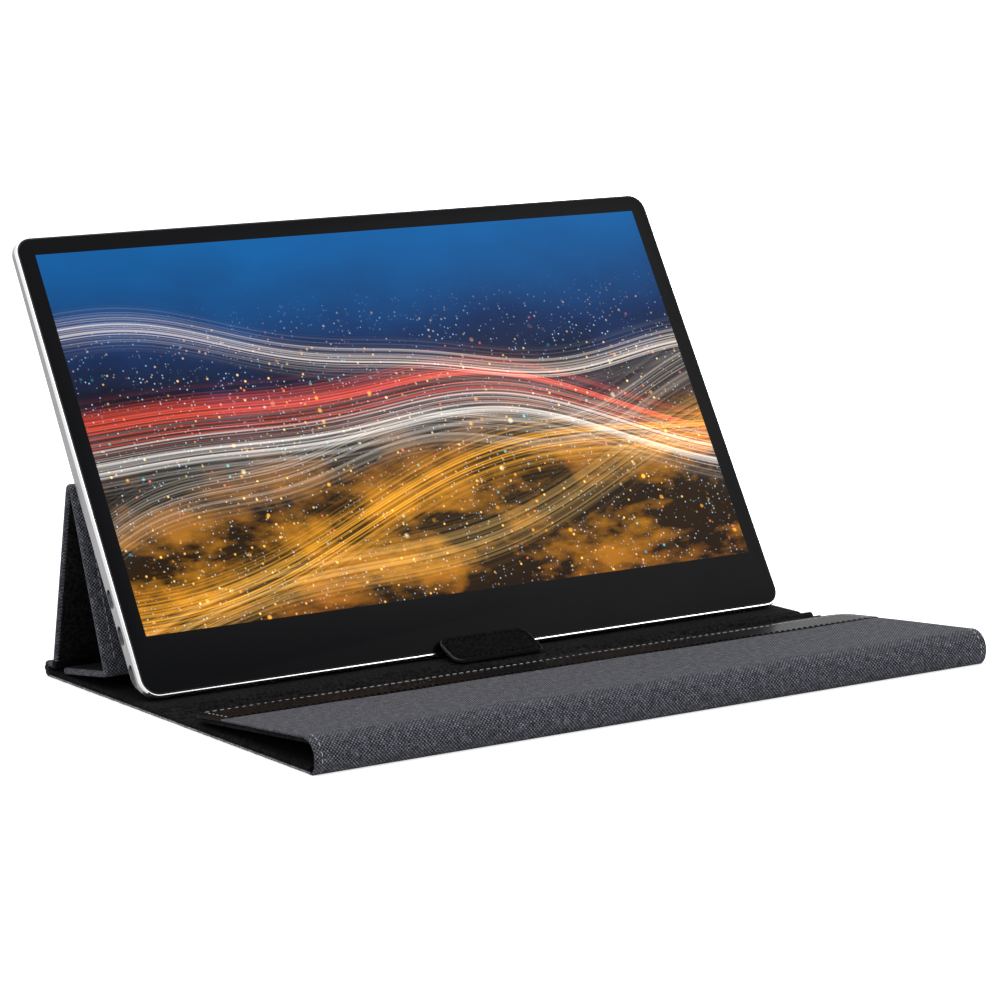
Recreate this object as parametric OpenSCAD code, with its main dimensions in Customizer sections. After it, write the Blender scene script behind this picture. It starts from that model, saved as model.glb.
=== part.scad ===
// Portable monitor standing on its folding fabric cover.
// Millimetres. X runs across the screen, Y from front to rear, Z up from the table.
// The origin is on the table, under the middle of the whole object.
// The cover is one chain of stiffened panels. Seen from the left side it runs from
// the flap over the front spine to the front board, the rear board, the rear spine,
// the rear leg, the front leg and the tail.

/* [Display] */
// Width of the lit picture
active_w = 344.2; // [320:0.1:352]
// Height of the lit picture
active_h = 193.6; // [180:0.1:200]
// Black border left and right of the picture
bezel_side = 8.7; // [7:0.1:14]
// Black border above the picture
bezel_top = 8.8; // [7:0.1:14]
// Black border below the picture
bezel_bottom = 28.2; // [26:0.1:34]
// Thickness of the cover glass
glass_t = 1.1; // [0.7:0.1:1.1]
// Height of the rounded edge of the cover glass
glass_edge = 0.4; // [0.2:0.1:0.6]

/* [Chassis] */
// Width of the metal rim round the glass
rim_w = 1.0; // [0.9:0.1:2]
// Bright chamfer along the front of the rim
rim_chamfer = 0.5; // [0.2:0.1:0.6]
// Corner radius of the chassis
corner_r = 9; // [6:0.5:14]
// Depth of the side wall along the lower, thick part
side_depth = 7.2; // [7.2:0.1:9]
// Depth of the side wall at the top edge
top_side_depth = 4.5; // [4.5:0.1:6]
// Depth of the wall under the screen, ahead of its large rear chamfer
bottom_depth = 4.0; // [3:0.1:5]
// How far the back stands out behind the side walls
back_bulge = 1.2; // [0.8:0.1:2]
// Height of the thick part, from the lower edge of the glass
thick_h = 108; // [104:1:130]
// Thickness of the back wall
back_wall = 0.7; // [0.5:0.1:0.9]
// Angle between the screen and the vertical
lean = 30.8; // [28:0.1:33]

/* [Ports and keys] */
// Height of the upper USB-C socket above the lower edge of the glass
usb_upper_v = 49.8; // [46:0.1:60]
// Height of the lower USB-C socket above the lower edge of the glass
usb_lower_v = 31.7; // [29:0.1:34]
// Height of the mini HDMI socket above the lower edge of the glass
hdmi_v = 11.6; // [10:0.1:14]
// Depth of the middle of the sockets behind the glass
port_depth = 5.2; // [5.2:0.1:5.3]
// Height of the headphone socket above the lower edge of the glass
jack_v = 12; // [10:0.1:16]
// Height of the rocker key above the lower edge of the glass
rocker_v = 56; // [46:0.5:60]
// Height of the power key above the lower edge of the glass
power_v = 82; // [78:0.5:92]
// Length of the rocker key
rocker_len = 19; // [14:0.5:22]
// Length of the power key
power_len = 9; // [6:0.5:12]
// Width of both keys
key_w = 2.6; // [2:0.1:3]
// How far the keys stand out of the side wall
key_proud = 0.5; // [0.3:0.1:0.8]

/* [Cover panels] */
// Margin of the cover beyond each side of the chassis
cover_margin = 1.85; // [0.5:0.05:6]
// Thickness of the outer fabric
fabric_t = 0.8; // [0.5:0.1:1.2]
// Thickness of the stiffening board
board_t = 1.8; // [1.2:0.1:2]
// Thickness of the inner lining
lining_t = 0.7; // [0.4:0.1:1]
// Corner radius of the tail's free end
panel_r = 4; // [2:0.5:8]
// Depth of the front board, from the front spine to the crease
front_board_len = 102; // [80:0.5:104]
// Width of the soft crease across the base
crease_len = 34; // [30:0.5:40]
// Depth of the rear board
rear_board_len = 104.8; // [98:0.1:125]
// Height of the soft pleats in the crease
pleat_h = 3.0; // [0.6:0.1:3.4]

/* [Front wrap] */
// Height of the front spine
spine_h = 16; // [14:0.5:20]
// Radius of the rounded front spine
spine_r = 9; // [8:0.1:10]
// How far the front spine stands out ahead of the base
spine_bulge = 2.6; // [1.5:0.1:3.5]
// Length of the flap
flap_len = 98; // [70:0.5:98]
// Corner radius of the flap's free end
flap_r = 8; // [4:0.5:12]
// Slope of the flap down to the rear
flap_drop = 5.0; // [3.5:0.1:5]
// Width of the smooth strip along the edge of the flap
trim_w = 27; // [10:0.5:34]
// Thickness of that strip
trim_t = 0.4; // [0.3:0.1:0.8]

/* [Prop] */
// Length of the rear spine between its two folds
rear_spine_len = 4.8; // [4:0.1:8]
// Length of the rear leg
rear_leg_len = 87.2; // [80:0.1:92]
// Length of the front leg
front_leg_len = 84.4; // [80:0.1:92]
// Distance between the feet of the two legs
prop_depth = 50.5; // [48:0.1:54]
// Height of the toe above the folded layers of the base
toe_rise = 5.6; // [4.6:0.1:6.4]
// Length of the tail that lies on the base
tail_len = 42; // [34:0.5:43]

/* [Tab and magnets] */
// Width of the leather tab
tab_w = 50; // [30:1:80]
// Place of the tab, to the right of the middle
tab_x = 1; // [-40:1:40]
// Thickness of the tab
tab_t = 1.8; // [1.2:0.1:2]
// Length of the lower part of the tab
tab_low_len = 8.6; // [7:0.1:9]
// Slope of the lower part of the tab
tab_low_angle = 22; // [18:1:26]
// Distance of the tab's fold ahead of the glass
tab_reach = 13.5; // [13:0.1:14.5]
// Radius of a magnet
magnet_r = 6; // [3:0.5:7]

/* [Clearances] */
// Gap between folded layers, and under the resting monitor
rest_gap = 0.25; // [0.15:0.05:0.4]
// Gap between the layers at the rear fold
rear_gap = 1.2; // [0.6:0.1:1.6]
// Gap between a panel and the fold beside it
fold_gap = 0.3; // [0.2:0.05:0.5]
// Gap round the keys
key_gap = 0.25; // [0.15:0.05:0.4]
// Gap round the glass and the inner parts
glass_gap = 0.1; // [0.05:0.05:0.2]

/* [Hidden] */
$fn = 48;
slice_fn = 32;
slice_t = 0.01;
cut = 1;

// Overall sizes of the monitor, and its layers counted back from the glass
glass_w = active_w + 2 * bezel_side;
glass_h = active_h + bezel_top + bezel_bottom;
chassis_w = glass_w + 2 * rim_w;
chassis_bottom = -rim_w;
chassis_top = glass_h + rim_w;
back_depth = side_depth + back_bulge;
top_depth = top_side_depth + back_bulge;
pocket_inset = rim_w - glass_gap;
panel_w = active_w + 6;
panel_bottom = bezel_bottom - 8.5;
panel_top = bezel_bottom + active_h + 3;
panel_front = glass_t + glass_gap;
panel_back = panel_front + 1.0;
film_back = panel_back + 0.3;
guide_back = film_back + 0.5;
sheet_back = guide_back + 0.15;
tray_back = sheet_back + 0.25;
board_front = tray_back + 1.2;
inner_back = back_depth - back_wall;
wall_x = chassis_w / 2;
inner_x = wall_x - pocket_inset;

// Overall sizes of the cover
panel_t = fabric_t + board_t + lining_t;
cover_w = chassis_w + 2 * cover_margin;
spine_y = spine_r - spine_bulge;
spine_z = spine_h - spine_r;
spine_in_r = spine_r - panel_t;
spine_foot_a = 255;
spine_low_a = 200;
spine_high_a = 150;
spine_gap_a = fold_gap / spine_in_r * 180 / PI;
front_end = 3.0;
crease_start = front_end + front_board_len;
crease_end = crease_start + crease_len;
rear_end = crease_end + rear_board_len;
layer_r = panel_t + rear_gap / 2;

// Directions and corners of the folded chain, each point as [depth, height]
function along(a) = [cos(a), sin(a)];
function across_to(a) = [-sin(a), cos(a)];
function angle_of(d) = atan2(d[1], d[0]);

// The upper corner of a triangle, from its two feet and the lengths of its two legs
function above(foot_a, len_a, foot_b, len_b) =
    let (span = norm(foot_b - foot_a), u = (foot_b - foot_a) / span,
        reach = (span * span + len_a * len_a - len_b * len_b) / (2 * span))
    foot_a + reach * u + sqrt(len_a * len_a - reach * reach) * [u[1], -u[0]];

flap_a = 180 - flap_drop;
flap_front = [spine_y, spine_z] + spine_r * along(flap_a - 90);
flap_tip = flap_front + flap_len * along(-flap_drop);
flap_fold_a = flap_a - 90;
leg_foot = [rear_end - rear_spine_len, 2 * panel_t + rear_gap];
toe = [leg_foot[0] - prop_depth, 2 * panel_t + fold_gap + toe_rise];
ridge = above(leg_foot, norm([rear_leg_len, panel_t]), toe, front_leg_len);
rear_leg_a = angle_of(ridge - leg_foot) - atan2(panel_t, rear_leg_len);
front_leg_a = 360 + angle_of(toe - ridge);
front_leg_top = ridge - panel_t * across_to(front_leg_a);
tail_drop = asin(toe_rise / tail_len);
tail_front = toe - panel_t * across_to(-tail_drop);
leg_trim = 2.5;
toe_trim = 2.0;
foot_trim = 1.5;

// The monitor's lower edge rests on the base and its back leans on the ridge
lowest_v = chassis_bottom * cos(lean) - bottom_depth * sin(lean);
seat_z = panel_t + rest_gap - lowest_v;
ridge_depth = back_depth + rest_gap + panel_t;
seat_y = ridge[0] - (ridge_depth + (ridge[1] - seat_z) * sin(lean)) / cos(lean);

// The middle of the whole object
rear_most = seat_y + (chassis_top - back_bulge) * sin(lean) + top_depth * cos(lean);
mid_y = (rear_most - spine_bulge) / 2;

// The tab's fold, bend and tip
tab_fold = [seat_y - tab_reach, panel_t + 1.2];
tab_bend = tab_fold + tab_low_len * along(tab_low_angle);
tab_tip_room = fold_gap + 0.2;
tab_tip_z = tab_bend[1] + 5.6;
tab_tip = [seat_y + (tab_tip_z - seat_z) * tan(lean) - tab_tip_room / cos(lean), tab_tip_z];

// Moves a shape from the cover's front edge to the object's own origin
module placed() translate([0, -mid_y, 0]) children();

// A frame on the cover: Y runs along a panel from its fold, Z towards its lining
module on_panel(at, angle) placed() translate([0, at[0], at[1]]) rotate([angle, 0, 0]) children();

// A frame on the monitor: Y runs up the screen from the glass's lower edge, Z forwards
module on_monitor() placed() translate([0, seat_y, seat_z]) rotate([90 - lean, 0, 0]) children();

// Draws a side view, as depth and height, across a width
module side_view(width, at_x = 0)
    translate([at_x - width / 2, 0, 0]) rotate([90, 0, 90]) linear_extrude(width) children();

// What a rounded corner leaves out of a square one
module corner_cut(sx, sy, r) difference() {
    translate([sx > 0 ? 0 : -r, sy > 0 ? 0 : -r]) square(r);
    translate([sx * r, sy * r]) circle(r);
}

// A plate's outline between two heights, with a radius at each end
module outline(w, y0, y1, r0, r1) difference() {
    translate([-w / 2, y0]) square([w, y1 - y0]);
    for (s = [-1, 1]) {
        if (r0 > 0) translate([s * w / 2, y0]) corner_cut(-s, 1, r0);
        if (r1 > 0) translate([s * w / 2, y1]) corner_cut(-s, -1, r1);
    }
}

// Part of a ring between two angles, seen from the side
module ring_part(r_in, r_out, a0, a1) intersection() {
    difference() {
        circle(r_out);
        if (r_in > 0) circle(r_in);
    }
    polygon(concat([[0, 0]], [for (i = [0:4]) 3 * r_out * along(a0 + (a1 - a0) * i / 4)]));
}

// A slot with round ends, its long side along Y
module slot_outline(len, w) union() {
    square([w, len - w], center = true);
    for (s = [-1, 1]) translate([0, s * (len - w) / 2]) circle(w / 2);
}

// A socket or key shape that points out of the left or right side wall
module on_side(side, v, depth) on_monitor()
    translate([side * wall_x, v, -depth]) rotate([0, side * 90, 0]) children();

// A flat layer of the monitor between two depths behind the glass
module layer(w, v0, v1, r, d0, d1) translate([0, 0, -d1]) linear_extrude(d1 - d0) outline(w, v0, v1, r, r);

// A thin slice of the chassis, for the hulls below
module slice(inset, v0, v1, r0, r1, depth) translate([0, 0, -depth - slice_t / 2])
    linear_extrude(slice_t) outline(chassis_w - 2 * inset, v0, v1, r0, r1, $fn = slice_fn);

module chassis_solid() {
    low = chassis_bottom;
    high = chassis_top;
    low_rear = low + back_depth - bottom_depth;
    front_r = corner_r - rim_chamfer;
    hull() {
        slice(rim_chamfer, low + rim_chamfer, high - rim_chamfer, front_r, front_r, 0.1);
        slice(0, low, high, corner_r, corner_r, 0.1 + rim_chamfer);
        slice(0, low, thick_h, corner_r, 0, bottom_depth);
        slice(0, low + side_depth - bottom_depth, thick_h, corner_r, 0, side_depth);
        slice(back_bulge, low_rear, thick_h, corner_r, 0, back_depth);
        slice(0, high - 2 * corner_r, high, 0, corner_r, top_side_depth);
        slice(back_bulge, high - 2 * corner_r, high - back_bulge, 0, corner_r - back_bulge, top_depth);
    }
}

module chassis_pocket() {
    low = chassis_bottom + pocket_inset;
    high = chassis_top - pocket_inset;
    r = corner_r - pocket_inset;
    rear = pocket_inset + back_bulge;
    slope = back_wall / 2;
    hull() {
        slice(pocket_inset, low, high, r, r, -cut);
        slice(pocket_inset, low, thick_h, r, 0, bottom_depth - slope);
        slice(pocket_inset, low + side_depth - bottom_depth, thick_h, r, 0, side_depth - slope);
        slice(rear, low + inner_back - bottom_depth + slope, thick_h - back_wall, r, 0, inner_back);
        slice(pocket_inset, high - 2 * corner_r, high, 0, r, top_side_depth - slope);
        slice(rear, high - 2 * corner_r, high - back_bulge, 0, r - back_bulge, top_depth - back_wall);
    }
}

speaker_w = chassis_w * 0.12;
speaker_x = chassis_w * 0.325;
speaker_v0 = 5;
speaker_v1 = 19;
module speaker_slots(side) for (i = [-4:4])
    translate([side * speaker_x + i * 4, (speaker_v0 + speaker_v1) / 2 + 1, -back_depth - cut])
        linear_extrude(back_wall + 2 * cut) slot_outline(8, 1.4);

module rear_housing() color("silver") difference() {
    on_monitor() difference() {
        chassis_solid();
        chassis_pocket();
        for (side = [-1, 1]) speaker_slots(side);
    }
    for (v = [usb_upper_v, usb_lower_v])
        on_side(-1, v, port_depth) wall_slot(usb_len, port_w, port_gap);
    on_side(-1, hdmi_v, port_depth) wall_slot(hdmi_len, port_w, port_gap);
    on_side(1, jack_v, jack_depth) translate([0, 0, -2 * rim_w])
        cylinder(h = 4 * rim_w, r = jack_r + port_gap);
    on_side(1, rocker_v, key_depth) wall_slot(rocker_len, key_w, key_gap);
    on_side(1, power_v, key_depth) wall_slot(power_len, key_w, key_gap);
}

// A slot through a side wall, with a gap round what stands in it
module wall_slot(len, w, gap) translate([0, 0, -2 * rim_w])
    linear_extrude(4 * rim_w) slot_outline(len + 2 * gap, w + 2 * gap);

module mid_frame() color("#1a1a1c") on_monitor() difference() {
    layer(2 * inner_x - 0.1, chassis_bottom + pocket_inset + 0.1, chassis_top - pocket_inset - 0.1,
        corner_r - pocket_inset, panel_front, panel_front + 1.2);
    layer(panel_w + 2 * glass_gap, panel_bottom - 4, panel_top + glass_gap, 0.5, 0, back_depth);
    translate([inner_x, jack_v, -jack_depth]) cube([40, 8, 2 * jack_depth], center = true);
}

module cover_glass() color("#0d0e10") on_monitor() hull() {
    w = glass_w - 2 * glass_gap;
    r = corner_r - rim_w;
    for (s = [[glass_edge, 0], [0, glass_edge], [0, glass_t - slice_t]]) translate([0, 0, -s[1] - slice_t])
        linear_extrude(slice_t) outline(w - 2 * s[0], glass_gap + s[0], glass_h - glass_gap - s[0],
            r - s[0], r - s[0], $fn = slice_fn);
}

module display_panel() color("#16304f") on_monitor()
    layer(panel_w, panel_bottom, panel_top, 0.5, panel_front, panel_back);

module diffuser_film() color("white") on_monitor()
    layer(panel_w - 1, panel_bottom + 4, panel_top - 0.5, 0.5, panel_back, film_back);

module light_guide() color("#dfeef5") on_monitor()
    layer(panel_w - 1, panel_bottom + 6.5, panel_top - 0.5, 0.5, film_back, guide_back);

module led_strip() color("#f3e9b0") on_monitor()
    layer(panel_w - 4, panel_bottom + 4, panel_bottom + 6.3, 0.5, film_back, guide_back);

module reflector_sheet() color("#f5f5f5") on_monitor()
    layer(panel_w - 1, panel_bottom + 4, panel_top - 0.5, 0.5, guide_back, sheet_back);

module backlight_tray() color("#8d9094") on_monitor()
    layer(panel_w, panel_bottom + 2, panel_top, 1, sheet_back, tray_back);

source_w = 300;
source_v0 = 21;
source_v1 = 27;
source_t = 0.8;
module source_board() color("#1c5a34") on_monitor()
    layer(source_w, source_v0, source_v1, 0.5, tray_back, tray_back + source_t);

// Four flat films leave the panel's lower edge and turn back to the source board
module panel_flex() color("#b06a22") placed() {
    film_t = 0.2;
    film_w = panel_w * 0.08;
    film_pitch = panel_w * 0.15;
    reach = 2.6;
    back = tray_back + source_t;
    for (i = [-1.5:1.5]) translate([i * film_pitch, seat_y, seat_z]) rotate([90 - lean, 0, 0])
        rotate([0, -90, 0]) translate([0, 0, -film_w / 2]) linear_extrude(film_w) union() {
            translate([-panel_back, panel_bottom - reach]) square([film_t, reach]);
            translate([-back - film_t, panel_bottom - reach])
                square([back + film_t - panel_back + film_t, film_t]);
            translate([-back - film_t, panel_bottom - reach])
                square([film_t, source_v1 - 2 - panel_bottom + reach]);
        }
}

port_len = 7.4;
port_w = 3.16;
port_gap = 0.2;
usb_len = 8.94;
hdmi_len = 11.2;
shell_t = 0.3;
socket_recess = 0.35;
board_x = -wall_x + pocket_inset + socket_recess + port_len;
board_right = -40;
board_v0 = source_v1 + 1;
board_v1 = 96;
main_t = 1;
board_foot_w = 20;
board_foot_v = 5.5;
chip_t = 0.9;
// Chips on the main board: across and up from its middle, width, height
chips = [[6, 0, 16, 16], [36, 4, 12, 12], [-22, 12, 10, 14], [28, -20, 22, 8], [-14, -18, 8, 8]];
module main_board() color("#145c3c") on_monitor() {
    mid = [(board_right + board_x) / 2, (board_v0 + board_v1) / 2];
    rear = board_front + main_t;
    translate([mid[0], 0, 0]) layer(board_right - board_x, board_v0, board_v1, 1, board_front, rear);
    translate([board_x + board_foot_w / 2, 0, 0])
        layer(board_foot_w, board_foot_v, board_v0 + 0.5, 1, board_front, rear);
    for (c = chips) translate([mid[0] + c[0], mid[1] + c[1], -rear - chip_t])
        linear_extrude(chip_t + 0.1) square([c[2], c[3]], center = true);
}

screw_spots = [[-160, 88], [-160, 60], [-112, 90], [-50, 90], [-50, 34], [-112, 34]];
module board_screws() color("#c9ccd1") on_monitor() for (s = screw_spots) {
    translate([s[0], s[1], -board_front - 1.8]) cylinder(h = 0.8, r = 2);
    translate([s[0], s[1], -inner_back]) cylinder(h = inner_back - board_front - 1.8, r = 1.2);
}

// A socket's metal shell, closed at its inner end, with its tongue inside
socket_end = 1.2;
tongue_t = 0.7;
module socket(len, tongue_len) translate([0, 0, -pocket_inset - socket_recess - port_len]) {
    difference() {
        linear_extrude(port_len) slot_outline(len, port_w);
        translate([0, 0, socket_end]) linear_extrude(port_len)
            slot_outline(len - 2 * shell_t, port_w - 2 * shell_t);
    }
    translate([0, 0, socket_end / 2]) linear_extrude(port_len - socket_end)
        square([tongue_t, tongue_len], center = true);
}

module usb_c_port_upper() color("#b9bcc0") on_side(-1, usb_upper_v, port_depth) socket(usb_len, 6.6);

module usb_c_port_lower() color("#b9bcc0") on_side(-1, usb_lower_v, port_depth) socket(usb_len, 6.6);

module mini_hdmi_port() color("#b9bcc0") on_side(-1, hdmi_v, port_depth) socket(hdmi_len, 8.4);

jack_r = 1.8;
jack_depth = 4.4;
jack_len = 14;
jack_body = [4.8, 6, jack_len];
module audio_jack() color("#202124") on_side(1, jack_v, jack_depth)
    translate([0, 0, -pocket_inset - socket_recess - jack_len]) difference() {
        translate([0, 0, jack_len / 2]) cube(jack_body, center = true);
        translate([0, 0, socket_end]) cylinder(h = jack_len, r = jack_r);
    }

key_depth = 5.2;
key_foot_t = 1.5;
key_travel = 0.4;
key_board_x = wall_x - pocket_inset - key_gap - key_foot_t - key_travel - glass_gap;
module key_board() color("#145c3c") on_monitor() {
    low = rocker_v - rocker_len / 2 - 2;
    high = power_v + power_len / 2 + 2;
    translate([key_board_x - 1, low, -inner_back]) cube([1, high - low, 3.4]);
}

// A key: a cap that fills its slot, on a wider foot that keeps it in
module key_cap(len, foot_len) {
    seat = pocket_inset + key_gap;
    translate([0, 0, -seat]) linear_extrude(seat + key_proud) slot_outline(len, key_w);
    translate([0, 0, -seat - key_foot_t]) linear_extrude(key_foot_t) slot_outline(foot_len, key_w + 0.8);
}

module power_button() color("#c4c7cb") on_side(1, power_v, key_depth) key_cap(power_len, power_len + 1.6);

// The rocker tips about its middle, so its foot is short
module menu_rocker() color("#c4c7cb") on_side(1, rocker_v, key_depth) key_cap(rocker_len, rocker_len / 2);

module speaker(side) color("#26272a") on_monitor() translate([side * speaker_x, 0, 0]) difference() {
    layer(speaker_w, speaker_v0, speaker_v1, 3, panel_front + 1.4, inner_back - 0.6);
    translate([0, (speaker_v0 + speaker_v1) / 2, -inner_back]) cylinder(h = 1.6, r = 5);
}

module speaker_left() speaker(-1);

module speaker_right() speaker(1);

// The three layers of a stiffened panel. Its walls close the sides, and each end that is free.
module tray(y0, y1, r0, r1, closed0, closed1) difference() {
    linear_extrude(panel_t - lining_t) outline(cover_w, y0, y1, r0, r1);
    translate([0, 0, fabric_t]) linear_extrude(panel_t) outline(cover_w - 2 * fabric_t,
        closed0 ? y0 + fabric_t : y0 - cut, closed1 ? y1 - fabric_t : y1 + cut,
        closed0 ? r0 - fabric_t : 0, closed1 ? r1 - fabric_t : 0);
}

module stiffener(y0, y1, r0, r1, closed0, closed1) translate([0, 0, fabric_t])
    linear_extrude(board_t) outline(cover_w - 2 * fabric_t,
        closed0 ? y0 + fabric_t : y0, closed1 ? y1 - fabric_t : y1,
        closed0 ? r0 - fabric_t : 0, closed1 ? r1 - fabric_t : 0);

module facing(y0, y1, r0, r1) translate([0, 0, fabric_t + board_t])
    linear_extrude(lining_t) outline(cover_w, y0, y1, r0, r1);

// Round magnets let into a board, and the holes for them
module magnets(y, spread, count) for (i = [0:count - 1])
    translate([(i / (count - 1) - 0.5) * spread, y, fabric_t]) cylinder(h = board_t, r = magnet_r);

base_magnet_y = rear_board_len - 32;
base_magnet_spread = cover_w - 60;
module on_base_rear() on_panel([crease_end, 0], 0) children();
module base_rear_fabric() color("#46484f") on_base_rear() tray(0, rear_board_len, 0, 0, false, false);
module base_rear_board() color("#8a7a62") on_base_rear() difference() {
    stiffener(0, rear_board_len, 0, 0, false, false);
    magnets(base_magnet_y, base_magnet_spread, 4);
}
module base_rear_lining() color("#1c1c1e") on_base_rear() facing(0, rear_board_len, 0, 0);
module base_magnets() color("#9a9da1") on_base_rear() magnets(base_magnet_y, base_magnet_spread, 4);

// The soft crease between the two base boards, with three low pleats
crease_low = fabric_t + lining_t;
pleat_count = 3;
pleat_edge = 5;
function pleat_z(t) = crease_low + pleat_h * (1 - cos(360 * pleat_count * t)) / 2;
module base_fold_strip() color("#1c1c1e") placed() side_view(cover_w) {
    y0 = crease_start + fold_gap;
    p0 = y0 + pleat_edge;
    p1 = crease_end - pleat_edge;
    polygon(concat([[crease_end, 0], [y0, 0], [y0, crease_low]],
        [for (i = [0:24]) [p0 + (p1 - p0) * i / 24, pleat_z(i / 24)]],
        [[crease_end, crease_low]]));
}

module on_base_front() on_panel([front_end, 0], 0) children();
module base_front_fabric() color("#46484f") on_base_front() tray(0, front_board_len, 0, 0, false, false);
module base_front_board() color("#8a7a62") on_base_front()
    stiffener(0, front_board_len, 0, 0, false, false);
module base_front_lining() color("#1c1c1e") on_base_front() facing(0, front_board_len, 0, 0);

// The fold from the front board up into the front spine, with a fillet in its corner
fillet_rise = 0.9;
module front_fold_strip() color("#46484f") placed() side_view(cover_w) intersection() {
    translate([-spine_bulge - cut, 0]) square([front_end + spine_bulge + cut, spine_h]);
    union() {
        translate([spine_y, spine_z])
            ring_part(spine_in_r, spine_r, spine_low_a + spine_gap_a, spine_foot_a);
        polygon([[front_end, fabric_t], [front_end, panel_t], [0.4 * front_end, panel_t + fillet_rise],
            [0.2 * front_end, panel_t / 2]]);
    }
}

module spine_layer(r_in, r_out) placed() side_view(cover_w)
    translate([spine_y, spine_z]) ring_part(r_in, r_out, spine_high_a, spine_low_a);
module front_spine_fabric() color("#46484f") spine_layer(spine_r - fabric_t, spine_r);
module front_spine_board() color("#8a7a62") spine_layer(spine_in_r + lining_t, spine_r - fabric_t);
module front_spine_lining() color("#1c1c1e") spine_layer(spine_in_r, spine_in_r + lining_t);

// The fold from the front spine over into the flap
module flap_fold_strip() color("#46484f") placed() side_view(cover_w) translate([spine_y, spine_z])
    ring_part(spine_in_r, spine_r, flap_fold_a, spine_high_a - spine_gap_a);

// The flap: fabric on top, and the lining wraps the board's edges from below
flap_inset = 1;
module on_flap() on_panel(flap_tip, flap_a) children();
module flap_outline(inset) outline(cover_w - 2 * inset, inset, flap_len, flap_r - inset, 0);
module flap_fabric() color("#46484f") on_flap() linear_extrude(fabric_t) flap_outline(0);
module flap_lining() color("#1c1c1e") on_flap() translate([0, 0, fabric_t]) difference() {
    linear_extrude(board_t + lining_t) flap_outline(flap_inset);
    translate([0, 0, -cut]) linear_extrude(board_t + cut) flap_outline(flap_inset + lining_t);
}
flap_magnet_y = trim_w / 2 + 2;
flap_magnet_spread = cover_w - 90;
module flap_board() color("#8a7a62") on_flap() difference() {
    translate([0, 0, fabric_t]) linear_extrude(board_t) flap_outline(flap_inset + lining_t);
    magnets(flap_magnet_y, flap_magnet_spread, 4);
}
module flap_magnets() color("#9a9da1") on_flap() magnets(flap_magnet_y, flap_magnet_spread, 4);
module flap_trim() color("#232427") on_flap() translate([0, 0, -trim_t])
    linear_extrude(trim_t) intersection() {
        flap_outline(0);
        translate([-cover_w / 2, 0]) square([cover_w, trim_w]);
    }

// The rear edge turns over, and the rear spine lies folded on the base
module rear_fold_strip() color("#46484f") placed() side_view(cover_w)
    translate([rear_end, layer_r]) ring_part(layer_r - crease_low, layer_r, -90, 90);

module on_rear_spine() on_panel([rear_end, 2 * panel_t + rear_gap], 180) children();
module rear_spine_fabric() color("#46484f") on_rear_spine()
    tray(fold_gap, rear_spine_len - fold_gap, 0, 0, false, false);
module rear_spine_board() color("#8a7a62") on_rear_spine()
    stiffener(fold_gap, rear_spine_len - fold_gap, 0, 0, false, false);
module rear_spine_lining() color("#1c1c1e") on_rear_spine()
    facing(fold_gap, rear_spine_len - fold_gap, 0, 0);

// The fold from the rear spine up into the rear leg
module leg_fold_strip() color("#1c1c1e") placed() side_view(cover_w) {
    inner = leg_foot + [fold_gap, 0];
    top = leg_foot + (foot_trim - fold_gap) * along(rear_leg_a);
    top_in = top + panel_t * across_to(rear_leg_a);
    polygon([inner, top, top_in, top_in + [0.4, -2.2], [leg_foot[0] - 1.6, panel_t + rear_gap],
        [inner[0], panel_t + rear_gap]]);
}

module on_rear_leg() on_panel(leg_foot, rear_leg_a) children();
module rear_leg_fabric() color("#46484f") on_rear_leg()
    tray(foot_trim, rear_leg_len - leg_trim, 0, 0, false, false);
module rear_leg_board() color("#8a7a62") on_rear_leg()
    stiffener(foot_trim, rear_leg_len - leg_trim, 0, 0, false, false);
module rear_leg_lining() color("#1c1c1e") on_rear_leg() facing(foot_trim, rear_leg_len - leg_trim, 0, 0);

// A rounded fold about a corner, with the ends of the two panels that meet there
fold_steps = 12;
module fold_over(a0, a1, len0, len1) polygon(concat(
    [for (i = [0:fold_steps]) panel_t * along(a0 + (a1 - a0) * i / fold_steps)],
    [panel_t * along(a1) + len1 * along(a1 + 90), len1 * along(a1 + 90), [0, 0],
        -len0 * along(a0 + 90), panel_t * along(a0) - len0 * along(a0 + 90)]));

// The fold over the ridge, and the one at the toe of the front leg
module ridge_fold_strip() color("#46484f") placed() side_view(cover_w) translate(ridge)
    fold_over(rear_leg_a - 90, front_leg_a - 90, leg_trim, leg_trim - fold_gap);

module on_front_leg() on_panel(front_leg_top, front_leg_a) children();
module front_leg_fabric() color("#46484f") on_front_leg()
    tray(leg_trim, front_leg_len - toe_trim, 0, 0, false, false);
module front_leg_board() color("#8a7a62") on_front_leg()
    stiffener(leg_trim, front_leg_len - toe_trim, 0, 0, false, false);
module front_leg_lining() color("#1c1c1e") on_front_leg() facing(leg_trim, front_leg_len - toe_trim, 0, 0);

module tail_fold_strip() color("#46484f") placed() side_view(cover_w) translate(toe)
    fold_over(front_leg_a - 90, 270 - tail_drop, toe_trim, toe_trim - fold_gap);

tail_magnet_y = tail_len - 14;
module on_tail() on_panel(tail_front, -tail_drop) children();
module tail_fabric() color("#46484f") on_tail() tray(toe_trim, tail_len, 0, panel_r, false, true);
module tail_board() color("#8a7a62") on_tail() difference() {
    stiffener(toe_trim, tail_len, 0, panel_r, false, true);
    magnets(tail_magnet_y, base_magnet_spread, 4);
}
module tail_lining() color("#1c1c1e") on_tail() facing(toe_trim, tail_len, 0, panel_r);
module tail_magnets() color("#9a9da1") on_tail() magnets(tail_magnet_y, base_magnet_spread, 4);

// The leather tab: its foot is sewn to the base, and it leans back against the screen
module tab_foot() color("#151516") placed() translate([tab_x, tab_fold[0], panel_t])
    linear_extrude(tab_fold[1] - panel_t - rest_gap) outline(tab_w - 4, 1, tab_reach - 1.5, 1, 1);

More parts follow.
